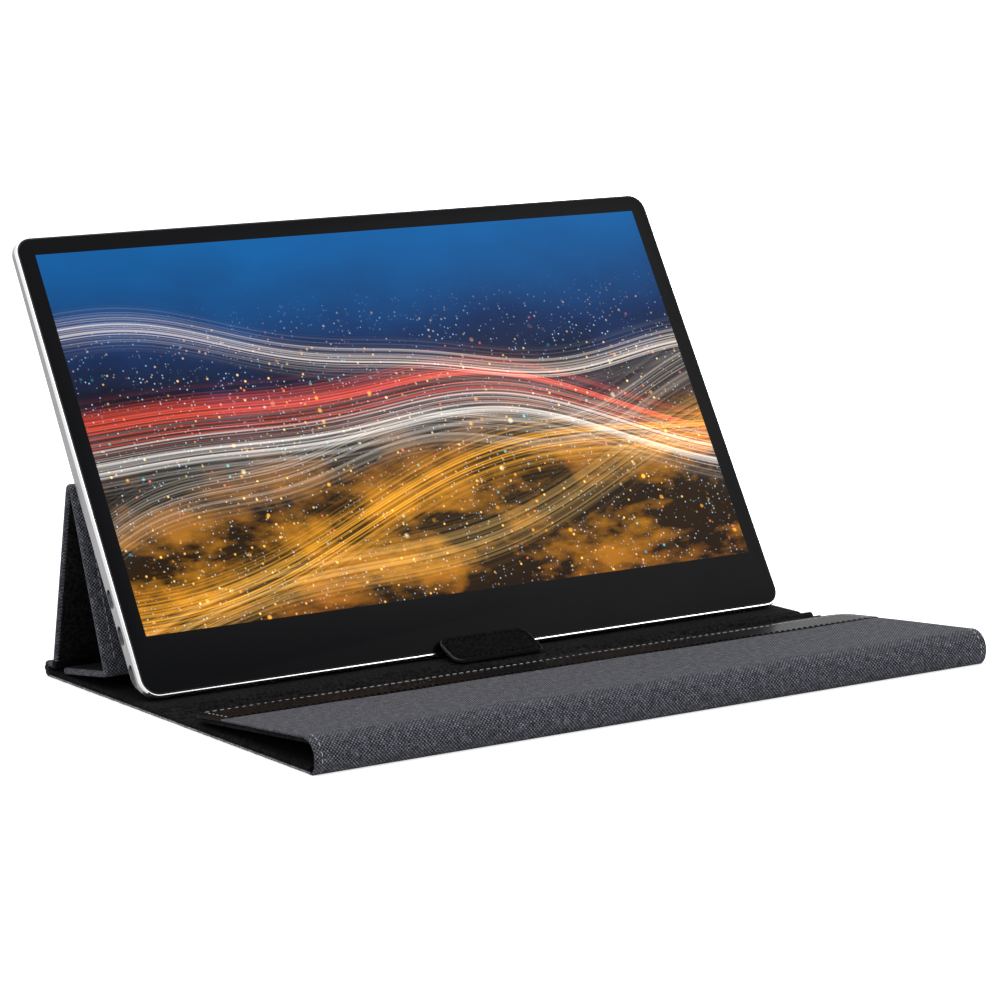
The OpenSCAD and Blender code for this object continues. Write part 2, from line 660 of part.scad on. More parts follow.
module tab_leather() color("#151516") intersection() {
    placed() side_view(tab_w, tab_x) {
        up = across_to(tab_low_angle);
        high_a = atan2(tab_tip[1] - tab_bend[1], tab_tip[0] - tab_bend[0]);
        bend_up = tab_bend + tab_t * across_to((tab_low_angle + high_a) / 2);
        polygon([tab_fold, tab_bend, tab_tip, tab_tip + tab_t * across_to(high_a), bend_up,
            tab_fold + tab_t * up]);
    }
    placed() translate([tab_x, 0, 0]) linear_extrude(2 * spine_h)
        outline(tab_w, tab_fold[0] - cut, tab_tip[0] + cut, 4, 4);
}

rear_housing();
mid_frame();
cover_glass();
display_panel();
diffuser_film();
light_guide();
reflector_sheet();
backlight_tray();
led_strip();
source_board();
panel_flex();
main_board();
board_screws();
usb_c_port_upper();
usb_c_port_lower();
mini_hdmi_port();
audio_jack();
key_board();
speaker_left();
speaker_right();
power_button();
menu_rocker();
base_rear_fabric();
base_rear_board();
base_rear_lining();
base_magnets();
base_fold_strip();
tab_foot();
tab_leather();
base_front_fabric();
base_front_board();
base_front_lining();
front_fold_strip();
front_spine_fabric();
front_spine_board();
front_spine_lining();
flap_fabric();
flap_board();
flap_lining();
flap_trim();
flap_magnets();
flap_fold_strip();
rear_fold_strip();
rear_spine_fabric();
rear_spine_board();
rear_spine_lining();
leg_fold_strip();
rear_leg_fabric();
rear_leg_board();
rear_leg_lining();
ridge_fold_strip();
front_leg_fabric();
front_leg_board();
front_leg_lining();
tail_fold_strip();
tail_fabric();
tail_board();
tail_lining();
tail_magnets();
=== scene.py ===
from math import atan2, cos, exp, hypot, pi, radians, sin, sqrt

import bmesh
import bpy
import numpy as np
from mathutils import Matrix, Vector


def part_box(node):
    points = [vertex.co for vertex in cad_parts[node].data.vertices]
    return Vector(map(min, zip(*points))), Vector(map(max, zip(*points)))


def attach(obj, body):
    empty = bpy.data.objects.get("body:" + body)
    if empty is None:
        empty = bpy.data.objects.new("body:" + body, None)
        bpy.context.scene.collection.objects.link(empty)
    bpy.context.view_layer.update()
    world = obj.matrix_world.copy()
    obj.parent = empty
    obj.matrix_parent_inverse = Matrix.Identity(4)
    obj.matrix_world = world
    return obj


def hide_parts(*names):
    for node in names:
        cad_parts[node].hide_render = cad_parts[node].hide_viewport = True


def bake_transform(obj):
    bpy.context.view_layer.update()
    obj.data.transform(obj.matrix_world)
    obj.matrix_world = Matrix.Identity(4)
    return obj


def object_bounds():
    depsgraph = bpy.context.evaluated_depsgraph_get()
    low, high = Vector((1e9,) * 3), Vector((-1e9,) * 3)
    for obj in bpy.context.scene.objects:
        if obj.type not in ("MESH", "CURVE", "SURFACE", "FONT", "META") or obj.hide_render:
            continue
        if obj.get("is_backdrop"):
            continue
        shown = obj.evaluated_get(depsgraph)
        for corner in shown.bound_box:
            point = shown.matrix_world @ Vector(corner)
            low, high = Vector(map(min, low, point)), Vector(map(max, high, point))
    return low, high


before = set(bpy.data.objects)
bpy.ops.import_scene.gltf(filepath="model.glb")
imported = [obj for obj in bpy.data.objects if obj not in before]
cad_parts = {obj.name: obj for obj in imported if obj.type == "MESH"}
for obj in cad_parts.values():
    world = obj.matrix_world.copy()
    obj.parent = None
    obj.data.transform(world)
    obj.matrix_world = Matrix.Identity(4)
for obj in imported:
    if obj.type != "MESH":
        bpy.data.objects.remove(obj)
cad_low, cad_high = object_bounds()

# Base of the cover. Two stiff boards lie flat on the table, with woven cloth glued on below
# and suede above. Only the cut edge of the cloth shows, a thin grey line round black lining.
HALF_WIDTH = 0.18365
PANEL_T = 0.0033
CLOTH_T = 0.0009
CLOTH_ROUND = 0.00035
LINING_INSET, LINING_ROUND = 0.0005, 0.0009
LINING_UNEVEN_TO = 0.18
THREAD_PITCH = 0.00088
BASE_FROM = 0.12


def new_finish(name, colour, roughness, metallic=0.0, specular=0.5):
    """A material with its shader set to plain values, to be wired up further."""
    made = bpy.data.materials.new(name)
    made.use_nodes = True
    shader = made.node_tree.nodes["Principled BSDF"]
    shader.inputs["Base Color"].default_value = (*colour, 1)
    shader.inputs["Roughness"].default_value = roughness
    shader.inputs["Metallic"].default_value = metallic
    shader.inputs["Specular IOR Level"].default_value = specular
    made.diffuse_color = (*colour, 1)
    return made


class Wiring:
    """Adds nodes to a finish. Every call takes numbers or sockets and returns a socket."""

    def __init__(self, finish):
        self.tree = finish.node_tree
        self.shader = self.tree.nodes["Principled BSDF"]

    def feed(self, slot, value):
        if isinstance(value, bpy.types.NodeSocket):
            self.tree.links.new(value, slot)
        else:
            slot.default_value = value

    def node(self, kind, *values, out=0, setting=None, **named):
        """A node with its inputs fed, in order and by name."""
        made = self.tree.nodes.new(kind)
        for key, value in (setting or {}).items():
            setattr(made, key, value)
        for key, value in [*enumerate(values), *named.items()]:
            self.feed(made.inputs[key if isinstance(key, int) else key.replace("_", " ")], value)
        return made.outputs[out]

    def sum(self, operation, a, b=0.0, c=0.0):
        return self.node("ShaderNodeMath", a, b, c, setting={"operation": operation})

    def times(self, first, *others):
        for other in others:
            first = self.sum("MULTIPLY", first, other)
        return first

    def scaled(self, vector, size):
        return self.node("ShaderNodeVectorMath", vector, setting={"operation": "SCALE"}, Scale=size)

    def added(self, first, second):
        return self.node("ShaderNodeVectorMath", first, second, setting={"operation": "ADD"})

    def noise(self, place, scale, detail, roughness=0.5):
        return self.node("ShaderNodeTexNoise", Vector=place, Scale=scale, Detail=detail,
                         Roughness=roughness)

    def spread(self, value, low, high, to_low, to_high):
        """Maps a value from one range to another, and holds it inside the second."""
        return self.node("ShaderNodeMapRange", value, low, high, to_low, to_high)

    def spot(self, x, y, z):
        return self.node("ShaderNodeCombineXYZ", x, y, z)

    def place(self):
        """Where a point lies on its piece."""
        return self.node("ShaderNodeTexCoord", out=3)

    def run(self):
        """Where a point lies on the cloth: as a vector, across the cover, along its chain."""
        place = self.node("ShaderNodeAttribute", out=1, setting={"attribute_name": "cloth_run"})
        apart = self.tree.nodes.new("ShaderNodeSeparateXYZ")
        self.tree.links.new(place, apart.inputs[0])
        return place, apart.outputs[0], apart.outputs[1]

    def bump(self, height, strength, distance):
        normal = self.node("ShaderNodeBump", Height=height, Strength=strength, Distance=distance)
        self.tree.links.new(normal, self.shader.inputs["Normal"])

    def paint(self, name, value):
        self.tree.links.new(value, self.shader.inputs[name])


def weave_finish(name, dark, light):
    """A two-tone basket weave: grey weft over a near-black warp, domed threads, painted shade
    between them.
    """
    made = new_finish(name, [(a + b) / 2 for a, b in zip(dark, light)], 0.85, specular=0.15)
    w = Wiring(made)
    place, across, along = w.run()
    u, v = (w.sum("DIVIDE", way, THREAD_PITCH) for way in (across, along))
    column, row = w.sum("FLOOR", u), w.sum("FLOOR", v)
    warp_over = w.sum("FLOORED_MODULO", w.sum("ADD", column, row), 2.0)
    weft_over = w.sum("SUBTRACT", 1.0, warp_over)
    dome_u, dome_v = (w.sum("COSINE", w.times(w.sum("SUBTRACT", w.sum("FRACT", t), 0.5), pi))
                      for t in (u, v))
    warp_high = w.times(dome_u, w.sum("MULTIPLY_ADD", dome_v, 0.6, 0.4))
    weft_high = w.times(dome_v, w.sum("MULTIPLY_ADD", dome_u, 0.6, 0.4))
    height = w.sum("ADD", w.times(warp_high, warp_over), w.times(weft_high, weft_over))
    warp_tone = w.noise(w.spot(column, w.times(v, 0.16), 3.0), 1.0, 1.0)
    weft_tone = w.noise(w.spot(w.times(u, 0.16), row, 11.0), 1.0, 1.0)
    share = w.sum("ADD", w.times(w.spread(warp_tone, 0.42, 0.7, 0.0, 0.4), warp_over),
                  w.times(w.spread(weft_tone, 0.3, 0.66, 0.35, 1.0), weft_over))
    threads = w.tree.nodes.new("ShaderNodeMix")
    threads.data_type = "RGBA"
    w.tree.links.new(share, threads.inputs[0])
    threads.inputs[6].default_value = (*dark, 1)
    threads.inputs[7].default_value = (*light, 1)
    fibre = w.noise(place, 5200.0, 2.0)
    fuzz = w.spread(fibre, 0.3, 0.7, 0.7, 1.25)
    slub = w.spread(w.noise(place, 950.0, 2.0), 0.32, 0.68, 0.75, 1.25)
    streak = w.noise(w.spot(w.times(across, 900.0), w.times(along, 190.0), 5.0), 1.0, 1.0)
    grain = w.spread(streak, 0.33, 0.67, 0.72, 1.28)
    mottle = w.spread(w.noise(place, 330.0, 3.0, 0.6), 0.36, 0.64, 0.74, 1.26)
    # Painted shade: the colour darkens where the threads dip, in the gaps between them.
    depth = w.spread(height, 0.0, 0.62, 0.12, 1.0)
    w.paint("Base Color", w.scaled(threads.outputs[2], w.times(fuzz, slub, grain, mottle, depth)))
    w.shader.inputs["Sheen Weight"].default_value = 0.05
    w.shader.inputs["Sheen Roughness"].default_value = 0.5
    w.bump(w.sum("ADD", height, w.times(fibre, 0.25)), 0.75, 0.0002)
    return made


CLOTH = weave_finish("cover_cloth", (0.0062, 0.0066, 0.0083), (0.205, 0.213, 0.256))
CLOTH_EDGE = new_finish("cloth_cut_edge", (0.2, 0.205, 0.225), 0.95)
fray = Wiring(CLOTH_EDGE)
strands = fray.noise(fray.place(), 1100.0, 4.0)
grey = fray.spread(strands, 0.35, 0.65, 0.02, 0.42)
bluish = fray.times(grey, 1.12)
fray.paint("Base Color", fray.node("ShaderNodeCombineColor", grey, grey, bluish))
fray.bump(strands, 0.6, 0.0003)


def suede_finish(name, colour, nap_strength):
    made = new_finish(name, colour, 0.92, specular=0.04)
    w = Wiring(made)
    place = w.place()
    nap = w.noise(place, 2600.0, 3.0)
    cloud = w.spread(w.noise(place, 34.0, 4.0), 0.3, 0.7, 0.78, 1.25)
    tuft = w.spread(w.noise(place, 620.0, 2.0), 0.35, 0.65, 0.35, 1.65)
    tone = w.times(w.spread(nap, 0.25, 0.75, 0.5, 1.5), tuft, cloud)
    w.paint("Base Color", w.scaled(colour, tone))
    w.bump(nap, nap_strength, 0.0002)
    return made


LINING = suede_finish("suede_lining", (0.0088, 0.0088, 0.0088), 0.5)


def side_view(node):
    """The (y, z) of a solid's corners."""
    return np.array([(v.co.y, v.co.z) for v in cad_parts[node].data.vertices])


def run_of(node, rough):
    """The outer face of a flat panel, from its solid: start and end (y, z), and its angle.

    rough is about the angle, and says how many whole turns the chain has made.
    """
    seen = side_view(node)
    d = np.array((cos(rough), sin(rough)))
    n = np.array((-d[1], d[0]))
    start = seen[np.argmin(seen @ (d + n))]
    end = seen[np.argmax(seen @ (d - n))]
    angle = atan2(end[1] - start[1], end[0] - start[0])
    return start, end, angle + 2 * pi * round((rough - angle) / (2 * pi))


def straight(start, end, step=0.004, fine=(), turns=0):
    """Stations (y, z, angle) from start to end, with extra ones at given distances."""
    start, end = np.array(start), np.array(end)
    length = np.linalg.norm(end - start)
    angle = atan2(*(end - start)[::-1]) + 2 * pi * turns
    marks = [*np.linspace(0, length, max(2, int(length / step) + 1)), *fine]
    marks = sorted({round(d, 7) for d in marks if -1e-9 <= d <= length + 1e-9})
    return [(*(start + (end - start) * d / length), angle) for d in marks]


def chained(stations, from_s=0.0):
    """Adds to each station its distance along the cover's chain."""
    out, s = [], from_s
    for i, (y, z, angle) in enumerate(stations):
        if i:
            s += hypot(y - stations[i - 1][0], z - stations[i - 1][1])
        out.append((y, z, angle, s))
    return out


def value_at(thing, s):
    return thing(s) if callable(thing) else thing


def cross_section(half, low, high, round_r, columns):
    """A layer's outline across the cover, as (x, depth, distance over its surface)."""
    r = min(round_r, (high - low) / 2 * 0.999)
    flat = half - r
    xs = []
    for i in range(columns + 1):
        even = 2 * i / columns - 1
        xs.append(flat * (0.15 * sin(pi / 2 * even) + 0.85 * even))
    quarter = pi / 2
    turn = [quarter * i / 4 for i in range(5)]
    side = flat + r * quarter + (high - low - 2 * r)
    out = [(x, low, x) for x in xs]
    out += [(flat + r * sin(a), low + r - r * cos(a), flat + r * a) for a in turn[1:]]
    out += [(flat + r * cos(a), high - r + r * sin(a), side + r * a) for a in turn]
    out += [(x, high, side + r * quarter + flat - x) for x in xs[-2::-1]]
    for a in turn[1:]:
        out.append((-flat - r * sin(a), high - r + r * cos(a), -side - r * (quarter - a)))
    for a in turn[:-1]:
        out.append((-flat - r * cos(a), low + r - r * sin(a), -flat - r * (quarter - a)))
    return out


def ring_faces(n, count, first=0):
    """Four-sided faces that join rings of n points, each ring to the next."""
    faces = []
    for start in range(first, first + (count - 1) * n, n):
        for j in range(n):
            k = (j + 1) % n
            faces.append((start + j, start + n + j, start + n + k, start + k))
    return faces


def solid_from(name, points, faces, finishes, runs=None, crease=radians(38)):
    """A closed piece with smooth faces, sharp where they turn by more than the crease."""
    mesh = bpy.data.meshes.new(name)
    mesh.from_pydata([tuple(map(float, p)) for p in points], [], faces)
    if runs is not None:
        place = mesh.attributes.new("cloth_run", "FLOAT_VECTOR", "POINT")
        place.data.foreach_set("vector", np.array(runs, np.float32).ravel())
    mesh.polygons.foreach_set("use_smooth", [True] * len(mesh.polygons))
    mesh.set_sharp_from_angle(angle=crease)
    for finish in finishes:
        mesh.materials.append(finish)
    made = bpy.data.objects.new(name, mesh)
    bpy.context.scene.collection.objects.link(made)
    work = bmesh.new()
    work.from_mesh(mesh)
    bmesh.ops.recalc_face_normals(work, faces=work.faces)
    work.to_mesh(mesh)
    work.free()
    return made


def layer_along(name, run, half, low, high, round_r, finish, lift=None, columns=46, edge=None):
    """A closed layer that follows a run of stations, between two depths below the outer face.

    half is half its width, round_r the rounding of its long edges, and lift moves a point out
    of the face by place. half, low and high may change along the run. Its cut edges may have a
    finish of their own.
    """
    points, runs = [], []
    for y, z, angle, s in run:
        section = cross_section(value_at(half, s), value_at(low, s), value_at(high, s),
                                round_r, columns)
        for x, t, u in section:
            if lift:
                t = t - lift(x, s)
            points.append((x, y - sin(angle) * t, z + cos(angle) * t))
            runs.append((u, s, t))
    n = len(section)
    faces = ring_faces(n, len(run))
    faces += [tuple(range(n)), tuple(range(len(points) - n, len(points)))[::-1]]
    made = solid_from(name, points, faces, [finish, edge] if edge else [finish], runs)
    if edge:
        cut = [abs(section[j][1] - section[(j + 1) % n][1]) > 1e-9 for j in range(n)]
        made.data.polygons.foreach_set("material_index", cut * (len(run) - 1) + [True, True])
    return made


def uneven(x, s):
    """The slight unevenness of cloth and board, well under half a millimetre."""
    return 0.00010 * sin(31 * x + 47 * s) + 0.00006 * sin(83 * x - 60 * s + 1.0)


def thread_edge(s):
    """Half the width at the cut cloth edge, which is a little ragged."""
    return HALF_WIDTH - 0.00025 + 0.00012 * sin(s * 2100) + 0.0001 * sin(s * 5300 + 1)


def fasten(piece, slot, nodes, body, other=None, run=None):
    """Fixes a piece to a body, or, given a second body, only sets it in place, fixed to neither."""
    if other:
        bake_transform(piece)
    else:
        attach(piece, body)
    if nodes:
        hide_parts(*nodes)


front_start, front_end, _ = run_of("base_front_fabric", 0.0)
rear_start, rear_end, _ = run_of("base_rear_fabric", 0.0)
base_front_run = chained(straight(front_start, front_end), BASE_FROM)
crease_run = chained(straight(front_end, rear_start, step=0.0011), base_front_run[-1][3])
base_rear_run = chained(straight(rear_start, rear_end), crease_run[-1][3])
for body, run, more in (("base_front", base_front_run, []),
                        ("base_rear", base_rear_run, ["base_magnets"])):
    cloth = layer_along(body + "_cloth", run, thread_edge, 0.0, CLOTH_T, CLOTH_ROUND, CLOTH,
                        edge=CLOTH_EDGE)
    fasten(cloth, "fabric", [body + "_fabric"], body)
    lining = layer_along(body + "_suede", run, HALF_WIDTH - LINING_INSET, CLOTH_T, PANEL_T,
                         LINING_ROUND, LINING,
                         lift=lambda x, s: uneven(x, s) if abs(x) < LINING_UNEVEN_TO else 0)
    fasten(lining, "lining", [body + "_board", body + "_lining", *more], body)


# The crease across the base: a strip with no board, where the lining bunches in low, soft
# pleats that run from side to side and are low near the left end.
PLEAT_HIGH, PLEAT_COUNT, PLEAT_EDGE = 0.0029, 3, 0.005
CREASE_T, CREASE_RAMP, CREASE_ROUND = 0.0017, 0.003, 0.0008


def pleats(x, s):
    """How far the lining stands up in its pleats, at a place on the crease."""
    start, end = crease_run[0][3] + PLEAT_EDGE, crease_run[-1][3] - PLEAT_EDGE
    share = (s - start) / (end - start) + 0.020 * sin(9 * x) + 0.008 * sin(31 * x + 1)
    if not 0 < share < 1:
        return 0.0
    wave = ((1 - cos(2 * pi * PLEAT_COUNT * share)) / 2) ** 1.2
    near = min(1.0, (x + HALF_WIDTH) / 0.04)
    fade = 0.2 + 0.8 * near * near * (3 - 2 * near)
    return PLEAT_HIGH * wave * (0.86 + 0.14 * sin(17 * x + 6 * share)) * fade


def crease_top(s):
    """The lining's top: level with the boards at both edges, thin between."""
    edge = min(s - crease_run[0][3], crease_run[-1][3] - s)
    return PANEL_T - (PANEL_T - CREASE_T) * min(1.0, edge / CREASE_RAMP) ** 1.5


crease_cloth = layer_along("crease_cloth", crease_run, thread_edge, 0.0, CLOTH_T, CLOTH_ROUND,
                           CLOTH, edge=CLOTH_EDGE)
crease_suede = layer_along("crease_suede", crease_run, HALF_WIDTH - LINING_INSET, CLOTH_T,
                           crease_top, CREASE_ROUND, LINING, lift=lambda x, s: -pleats(x, s))
fasten(crease_cloth, "fabric", [], "base_front", "base_rear", crease_run)
fasten(crease_suede, "lining", ["base_fold_strip"], "base_front", "base_rear", crease_run)


# Front spine and flap. The cloth rises round a half-round front spine and comes back over
# as a flap, whose board is wrapped in lining a little inside the cloth's edge.
SPINE_R, SPINE_HIGH = 0.009, 0.007
SPINE_TOP, SPINE_LOW, SPINE_FOOT = radians(150), radians(200), radians(231)
SOLE_R, SOLE_BACK = 0.0022, 0.0042
SPINE_CLOTH_T, SPINE_ROUND = CLOTH_T + 0.0006, 0.0007
FLAP_CORNER, FLAP_ROUND = 0.008, 0.0004
FLAP_LINING_IN, FLAP_LINING_BACK, FLAP_LINING_ROUND = 0.0011, 0.001, 0.0008
CORNER_STEPS = [FLAP_CORNER * (1 - cos(radians(9 * i))) for i in range(1, 11)] + [0.0002, 0.0005]


def bend(centre, radius, a0, a1, step=radians(4)):
    """Stations round an arc whose outward direction goes from a0 to a1."""
    angles = np.linspace(a0, a1, max(3, int(abs(a1 - a0) / step) + 1))
    return [(centre[0] + radius * cos(a), centre[1] + radius * sin(a), a + pi / 2) for a in angles]


def corner_cut(r, d):
    """How far a corner of radius r comes in, at a distance d from the end."""
    return r - sqrt(max(r * r - (r - d) ** 2, 0)) if d < r else 0.0


def flap_half(s):
    return HALF_WIDTH - corner_cut(FLAP_CORNER, max(s, 0.0))


flap_start, flap_end, flap_angle = run_of("flap_fabric", radians(175))
spine_centre = (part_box("front_spine_fabric")[0].y + SPINE_R, SPINE_HIGH)
flap_run = chained(straight(flap_start, flap_end, fine=CORNER_STEPS), 0.0)
over_run = chained(bend(spine_centre, SPINE_R, flap_angle - pi / 2, SPINE_TOP), flap_run[-1][3])
spine_run = chained(bend(spine_centre, SPINE_R, SPINE_TOP, SPINE_LOW), over_run[-1][3])
low_arc = bend(spine_centre, SPINE_R, SPINE_LOW, SPINE_FOOT)
sole = bend((spine_centre[0] - SOLE_BACK, SOLE_R), SOLE_R, SPINE_FOOT, 3 * pi / 2)
under_run = chained([*low_arc, *sole, (front_start[0], 0.0, 2 * pi)], spine_run[-1][3])
flap_cloth = layer_along("flap_cloth", flap_run, flap_half, 0.0, CLOTH_T, FLAP_ROUND, CLOTH,
                         lift=uneven)
lined_run = [q for q in flap_run if q[3] > FLAP_LINING_BACK - 0.00005]
flap_suede = layer_along("flap_suede", lined_run,
                         lambda s: flap_half(s - FLAP_LINING_BACK) - FLAP_LINING_IN,
                         CLOTH_T, PANEL_T, FLAP_LINING_ROUND, LINING)
under_cloth = layer_along("under_cloth", under_run, HALF_WIDTH, 0.0, CLOTH_T, FLAP_ROUND, CLOTH)
fasten(flap_cloth, "fabric", ["flap_fabric"], "flap")
fasten(flap_suede, "lining", ["flap_lining", "flap_board", "flap_magnets"], "flap")
fasten(under_cloth, "fabric", ["front_fold_strip"], "front_spine", "base_front", under_run)
for name, run, bodies, cloth_nodes, lining_nodes in (
    ("over", over_run, ("flap", "front_spine"), ["flap_fold_strip"], []),
    ("spine", spine_run, ("front_spine",), ["front_spine_fabric"],
     ["front_spine_lining", "front_spine_board"]),
):
    cloth = layer_along(name + "_cloth", run, HALF_WIDTH, 0.0, SPINE_CLOTH_T, SPINE_ROUND,
                        CLOTH)
    lining = layer_along(name + "_suede", run, HALF_WIDTH - FLAP_LINING_IN, SPINE_CLOTH_T,
                         PANEL_T, FLAP_LINING_ROUND, LINING)
    fasten(cloth, "fabric", cloth_nodes, *bodies, run=run)
    fasten(lining, "lining", lining_nodes, *bodies, run=run)


# Smooth strip along the flap's edge: thin black coated leathercloth, wrapped round the
# cloth's edge, glued, and sewn down near its edges with pale and black thread.
TRIM_T, TRIM_WIDE, TRIM_OVER, TRIM_ROUND = 0.00035, 0.027, 0.0002, 0.0005
TRIM_HEM, TRIM_FRONT_HEM = 0.0045, 0.0012
# Each kind of stitch: its pitch, its length and half its thickness.
TRIM_STITCH, TRIM_FRONT_STITCH = (0.0037, 0.0023, 0.00021), (0.0034, 0.0024, 0.00026)


def thread_finish(name, colour, specular=0.5):
    made = new_finish(name, colour, 0.7, specular=specular)
    w = Wiring(made)
    ply = w.node("ShaderNodeTexWave", Vector=w.place(), Scale=900.0, Distortion=1.5, Detail=1.0)
    w.paint("Base Color", w.scaled(colour, w.spread(ply, 0.0, 1.0, 0.65, 1.1)))
    w.bump(ply, 0.4, 0.0001)
    return made


PALE_THREAD = thread_finish("pale_thread", (0.5, 0.5, 0.51))
BLACK_THREAD = thread_finish("black_thread", (0.0012, 0.0012, 0.0012), specular=0.02)
COATED = new_finish("coated_strip", (0.0036, 0.0038, 0.0044), 0.5, specular=0.03)
coat = Wiring(COATED)
coat.bump(coat.node("ShaderNodeTexVoronoi", Vector=coat.place(), Scale=1500.0), 0.12, 0.0001)
smear = coat.noise(coat.place(), 40.0, 3.0)
coat.paint("Roughness", coat.spread(smear, 0.3, 0.7, 0.27, 0.35))


def on_run(run, s):
    """The point and angle at a distance along a run."""
    marks = [q[3] for q in run]
    s = min(max(s, marks[0]), marks[-1])
    i = max(0, min(len(run) - 2, int(np.searchsorted(marks, s)) - 1))
    f = (s - marks[i]) / max(marks[i + 1] - marks[i], 1e-9)
    return tuple(a + (b - a) * f for a, b in zip(run[i][:3], run[i + 1][:3]))


def sewn_line(run, places, t):
    """Points and normals on a run at given (x, s), at a depth t below the outer face."""
    out = []
    for x, s in places:
        y, z, angle = on_run(run, s)
        up = -1 if t < PANEL_T / 2 else 1
        normal = (0, -sin(angle) * up, cos(angle) * up)
        out.append(((x, y - sin(angle) * t, z + cos(angle) * t), normal))
    return out


# One stitch, end to end: place along it, thickness and height, as shares of its own size.
STITCH = ((-0.5, 0.35, -0.55), (-0.4, 0.8, -0.1), (-0.2, 1.0, 0.3),
          (0.2, 1.0, 0.3), (0.4, 0.8, -0.1), (0.5, 0.35, -0.55))


def stitches(name, path, pitch, length, radius, finish):
    """A row of sewn stitches: rounded little bars laid along a line of (point, normal)."""
    points, faces = [], []
    places, normals = (np.array(column, float) for column in zip(*path))
    marks = np.r_[0, np.cumsum(np.linalg.norm(np.diff(places, axis=0), axis=1))]

    def at(values, d):
        return np.array([np.interp(d, marks, values[:, k]) for k in range(3)])

    count = int((marks[-1] - length) / pitch) + 1
    start = (marks[-1] - (count - 1) * pitch) / 2
    for d in (start + i * pitch for i in range(count)):
        tail, middle, head = (at(places, e) for e in (d - length / 2, d, d + length / 2))
        normal = at(normals, d)
        way = (head - tail) / np.linalg.norm(head - tail)
        side = np.cross(way, normal)
        bow = (tail + head - 2 * middle) / 2
        first = len(points)
        for share, wide, up in STITCH:
            centre = middle + way * share * length + normal * radius * up + bow * (2 * share) ** 2
            for a in (pi / 3 * k for k in range(6)):
                points.append(centre + radius * wide * (side * cos(a) + normal * sin(a)))
        faces += ring_faces(6, len(STITCH), first)
        faces += [tuple(range(first, first + 6)), tuple(range(len(points) - 6, len(points)))[::-1]]
    return solid_from(name, points, faces, [finish], crease=radians(80))


tip_way = (flap_end - flap_start) / np.linalg.norm(flap_end - flap_start)
trim_line = straight(flap_start - TRIM_OVER * tip_way, flap_start + TRIM_WIDE * tip_way,
                     step=0.002, fine=[*CORNER_STEPS, TRIM_WIDE - 0.0003])
trim = layer_along("flap_edge_strip", chained(trim_line, -TRIM_OVER),
                   lambda s: flap_half(s) + TRIM_OVER, -TRIM_T, CLOTH_T + TRIM_OVER,
                   TRIM_ROUND, COATED, lift=uneven)
fasten(trim, "trim", ["flap_trim"], "flap")
trim_xs = np.linspace(-HALF_WIDTH + TRIM_HEM, HALF_WIDTH - TRIM_HEM, 160)
trim_rows = [[(x, TRIM_HEM) for x in trim_xs]]
for x in (-HALF_WIDTH + TRIM_HEM, HALF_WIDTH - TRIM_HEM):
    trim_rows.append([(x, s) for s in np.linspace(TRIM_HEM + 0.002, TRIM_WIDE - 0.0008, 16)])
for n, row in enumerate(trim_rows):
    sewn = stitches(f"flap_stitches_{n}", sewn_line(flap_run, row, -TRIM_T),
                    *TRIM_STITCH, PALE_THREAD)
    fasten(sewn, "fabric", [], "flap")
front_row = [(x, TRIM_WIDE - TRIM_FRONT_HEM) for x in trim_xs]
sewn = stitches("flap_stitches_front", sewn_line(flap_run, front_row, -TRIM_T),
                *TRIM_FRONT_STITCH, BLACK_THREAD)
fasten(sewn, "trim", [], "flap")

# Stitches round the ends of the front spine: pale thread, sewn through the turned-in hem of
# the cloth, a few millimetres from each end.
SPINE_HEM, SPINE_STITCH = 0.0034, (0.0031, 0.0022, 0.00023)
for side, word in ((-1, "left"), (1, "right")):
    for part, run, bodies in (("over", over_run, ("flap", "front_spine")),
                              ("front", spine_run, ("front_spine",))):
        marks = np.linspace(run[0][3], run[-1][3], 24)
        row = sewn_line(run, [(side * (HALF_WIDTH - SPINE_HEM), s) for s in marks], 0.0)
        sewn = stitches(f"spine_stitches_{part}_{word}", row, *SPINE_STITCH, PALE_THREAD)
        fasten(sewn, "fabric", [], *bodies, run=run)


# The prop: rear edge fold, rear spine, rear leg, ridge, front leg, toe and tail. The cloth
# wraps round the sides of these boards, and the suede is let in between its hems.
WRAP_T, WRAP_ROUND = PANEL_T - 0.0004, 0.0012
FOLD_CLOTH_T, FOLD_T = 0.0013, 0.0019
SUEDE_IN, SUEDE_SHORT, SUEDE_OVER, SUEDE_LOW = 0.0016, 0.0012, 0.0004, 0.00005
SUEDE_ROUND = 0.0003
TUCK_DEEP, TUCK_WIDE, TUCKS = 0.0008, 0.05, (0.36, 0.66)
TAIL_CORNER = 0.004
TAIL_STEPS = (0, 0.0002, 0.0005, 0.001, 0.0018, 0.003, 0.004)


def corner_between(start, angle, start2, angle2):
    """Where the inner faces of two neighbouring panels meet."""
    d1, d2 = (np.array((cos(a), sin(a))) for a in (angle, angle2))
    p1 = start + PANEL_T * np.array((-sin(angle), cos(angle)))
    p2 = start2 + PANEL_T * np.array((-sin(angle2), cos(angle2)))
    return p1 + d1 * np.linalg.solve(np.array((d1, -d2)).T, p2 - p1)[0]


def fold_over(corner, end, angle, start, next_angle):
    """Stations over a rounded fold, from one panel's end to the start of the next."""
    arc = bend(corner, PANEL_T, angle - pi / 2, next_angle - pi / 2, radians(9))
    return [(*end, angle), *arc, (*start, next_angle)]


def tuck(x, s):
    """The rear fold is pinched in along two lines, where its layers part."""
    share = (s - fold_run[0][3]) / (fold_run[-1][3] - fold_run[0][3])
    return -TUCK_DEEP * sum(exp(-((share - at) / TUCK_WIDE) ** 2) for at in TUCKS)


